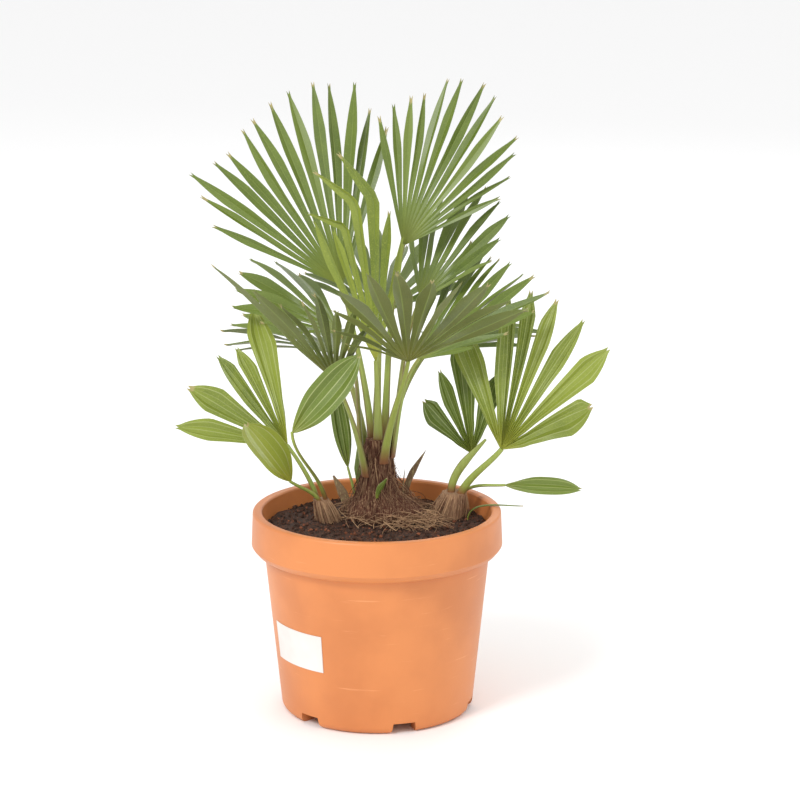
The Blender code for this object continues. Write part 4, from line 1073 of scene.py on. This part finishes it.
def build_stage(sizes, colours):
    """Pale floor, soft lights and the camera at the photograph's angle."""
    mesh = bpy.data.meshes.new("floor")
    corners = [(-FLOOR_REACH, -FLOOR_REACH, 0), (FLOOR_REACH, -FLOOR_REACH, 0),
               (FLOOR_REACH, FLOOR_REACH, 0), (-FLOOR_REACH, FLOOR_REACH, 0)]
    mesh.from_pydata(corners, [], [(0, 1, 2, 3)])
    pale = bpy.data.materials.new("floor_pale")
    pale.use_nodes = True
    pale.node_tree.nodes["Principled BSDF"].inputs["Base Color"].default_value = (0.96, 0.96, 0.96, 1.0)
    pale.node_tree.nodes["Principled BSDF"].inputs["Roughness"].default_value = 0.8
    mesh.materials.append(pale)
    things = [put_in_scene("floor", mesh)]
    for name, place, power, size in LIGHTS:
        lamp = bpy.data.lights.new(name, "AREA")
        lamp.energy = power
        lamp.size = size
        thing = put_in_scene(name, lamp)
        thing.location = place
        away = np.array(place) - LIT_PLACE
        flat = math.hypot(away[0], away[1])
        thing.rotation_euler = (math.atan2(flat, away[2]), 0, math.atan2(away[0], -away[1]))
        things.append(thing)
    world = bpy.data.worlds.new("soft_sky")
    world.use_nodes = True
    world.node_tree.nodes["Background"].inputs["Color"].default_value = (1.0, 1.0, 1.0, 1.0)
    world.node_tree.nodes["Background"].inputs["Strength"].default_value = SKY_STRENGTH
    bpy.context.scene.world = world
    bpy.context.scene.view_settings.view_transform = "Standard"
    eye = put_in_scene("camera", bpy.data.cameras.new("camera"))
    eye.data.lens = CAMERA_LENS
    eye.data.sensor_width = 36.0
    eye.data.clip_end = 100.0
    eye.location = CAMERA_PLACE
    eye.rotation_euler = [math.radians(angle) for angle in CAMERA_ANGLES]
    bpy.context.scene.camera = eye


def tint(name, about, value):
    """A colour property with its default."""
    return FloatVectorProperty(name=name, description=about, subtype="COLOR", size=3, min=0, max=1,
                               default=value)


class PalmSizes(bpy.types.PropertyGroup):
    """Sizes and counts that a user may change."""

    leaf_thickness: FloatProperty(name="Leaf thickness", description="Thickness of a leaflet at its rib",
                                  default=0.0005, min=0.0002, max=0.002, unit="LENGTH", precision=5)
    granules: IntProperty(name="Granules", description="Loose granules on the soil", default=1800, min=0,
                          max=4000)
    fibres: IntProperty(name="Fibres", description="Loose fibres on the trunk", default=620, min=0, max=1500)
    nest: IntProperty(name="Curled fibres", description="Curled fibres round the flare", default=260, min=0,
                      max=1000)


class PalmColours(bpy.types.PropertyGroup):
    """Colours that a user may change."""

    pot: tint("Pot", "Plastic of the pot", (0.68, 0.236, 0.070))
    pot_scuff: tint("Scuffs", "Worn places on the pot", (0.82, 0.38, 0.16))
    sticker: tint("Sticker", "Bare paper sticker", (0.80, 0.79, 0.76))
    soil: tint("Soil", "Dark crumbs", (0.036, 0.018, 0.011))
    soil_warm: tint("Warm soil", "Reddish granules", (0.27, 0.085, 0.035))
    fibre: tint("Fibre", "Dark fibre of the trunk", (0.090, 0.028, 0.013))
    fibre_light: tint("Light fibre", "Pale strands on the trunk", (0.50, 0.31, 0.17))
    leaf_top: tint("Leaf", "Upper side of grown leaflets", (0.132, 0.190, 0.026))
    leaf_under: tint("Leaf underside", "Scurfy underside of leaflets", (0.118, 0.146, 0.036))
    leaf_young: tint("Young leaf", "Leaflets of young fronds", (0.225, 0.285, 0.038))
    rib_soft: tint("Crown rib", "Ribs of the crown's leaflets", (0.190, 0.245, 0.055))
    rib: tint("Rib", "Pale ribs", (0.42, 0.46, 0.19))
    dry_tip: tint("Dry tip", "Dry ends of leaflets", (0.42, 0.34, 0.15))
    dry: tint("Dry sheath", "Dead sheaths", (0.17, 0.095, 0.05))
    stalk: tint("Petiole", "Petiole skin", (0.34, 0.42, 0.085))
    stalk_foot: tint("Petiole foot", "Foot of the petioles", (0.24, 0.095, 0.035))
    stalk_edge: tint("Petiole edge", "Brown edges of the petioles", (0.17, 0.075, 0.04))


def palm_settings(context):
    """The size and colour settings of the scene."""
    return context.scene.palm_sizes, context.scene.palm_colours


class PALM_OT_pot(bpy.types.Operator):
    """Give the pot its plastic"""

    bl_idname = "palm.pot"
    bl_label = "Pot"

    def execute(self, context):
        build_pot(*palm_settings(context))
        return {"FINISHED"}


class PALM_OT_sticker(bpy.types.Operator):
    """Add the bare sticker"""

    bl_idname = "palm.sticker"
    bl_label = "Sticker"

    def execute(self, context):
        build_sticker(*palm_settings(context))
        return {"FINISHED"}


class PALM_OT_soil(bpy.types.Operator):
    """Add the soil and its granules"""

    bl_idname = "palm.soil"
    bl_label = "Soil"

    def execute(self, context):
        build_soil(*palm_settings(context))
        return {"FINISHED"}


class PALM_OT_trunk(bpy.types.Operator):
    """Add the trunk and the sucker stems"""

    bl_idname = "palm.trunk"
    bl_label = "Trunk and stems"

    def execute(self, context):
        build_trunk(*palm_settings(context))
        return {"FINISHED"}


class PALM_OT_crown(bpy.types.Operator):
    """Add the crown's fronds"""

    bl_idname = "palm.crown"
    bl_label = "Crown fronds"

    def execute(self, context):
        build_crown(*palm_settings(context))
        return {"FINISHED"}


class PALM_OT_suckers(bpy.types.Operator):
    """Add the suckers' fronds"""

    bl_idname = "palm.suckers"
    bl_label = "Sucker fronds"

    def execute(self, context):
        build_suckers(*palm_settings(context))
        return {"FINISHED"}


class PALM_OT_small_bits(bpy.types.Operator):
    """Add the small sheaths, spikes and leaves"""

    bl_idname = "palm.small_bits"
    bl_label = "Small pieces"

    def execute(self, context):
        build_small_bits(*palm_settings(context))
        return {"FINISHED"}


class PALM_OT_stage(bpy.types.Operator):
    """Add the floor, the lights and the camera"""

    bl_idname = "palm.stage"
    bl_label = "Stage"

    def execute(self, context):
        build_stage(*palm_settings(context))
        return {"FINISHED"}


OPERATORS = (PALM_OT_pot, PALM_OT_sticker, PALM_OT_soil, PALM_OT_trunk, PALM_OT_crown, PALM_OT_suckers,
             PALM_OT_small_bits, PALM_OT_stage)


class PALM_PT_panel(bpy.types.Panel):
    """Lists the pieces"""

    bl_idname = "PALM_PT_panel"
    bl_label = "Potted fan palm"
    bl_space_type = "VIEW_3D"
    bl_region_type = "UI"
    bl_category = "Palm"

    def draw(self, context):
        for operator in OPERATORS:
            self.layout.operator(operator.bl_idname)
        for group in palm_settings(context):
            for key in group.__annotations__:
                self.layout.prop(group, key)


CLASSES = (PalmSizes, PalmColours) + OPERATORS + (PALM_PT_panel,)


def register():
    """Register the classes and hang the settings on the scene."""
    for thing in CLASSES:
        bpy.utils.register_class(thing)
    bpy.types.Scene.palm_sizes = PointerProperty(type=PalmSizes)
    bpy.types.Scene.palm_colours = PointerProperty(type=PalmColours)


def unregister():
    """Take the settings off the scene and unregister the classes."""
    del bpy.types.Scene.palm_colours
    del bpy.types.Scene.palm_sizes
    for thing in reversed(CLASSES):
        bpy.utils.unregister_class(thing)


def main():
    """Build every piece in order."""
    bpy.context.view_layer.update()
    register()
    for operator in OPERATORS:
        family, action = operator.bl_idname.split(".")
        getattr(getattr(bpy.ops, family), action)()


if __name__ == "__main__":
    main()
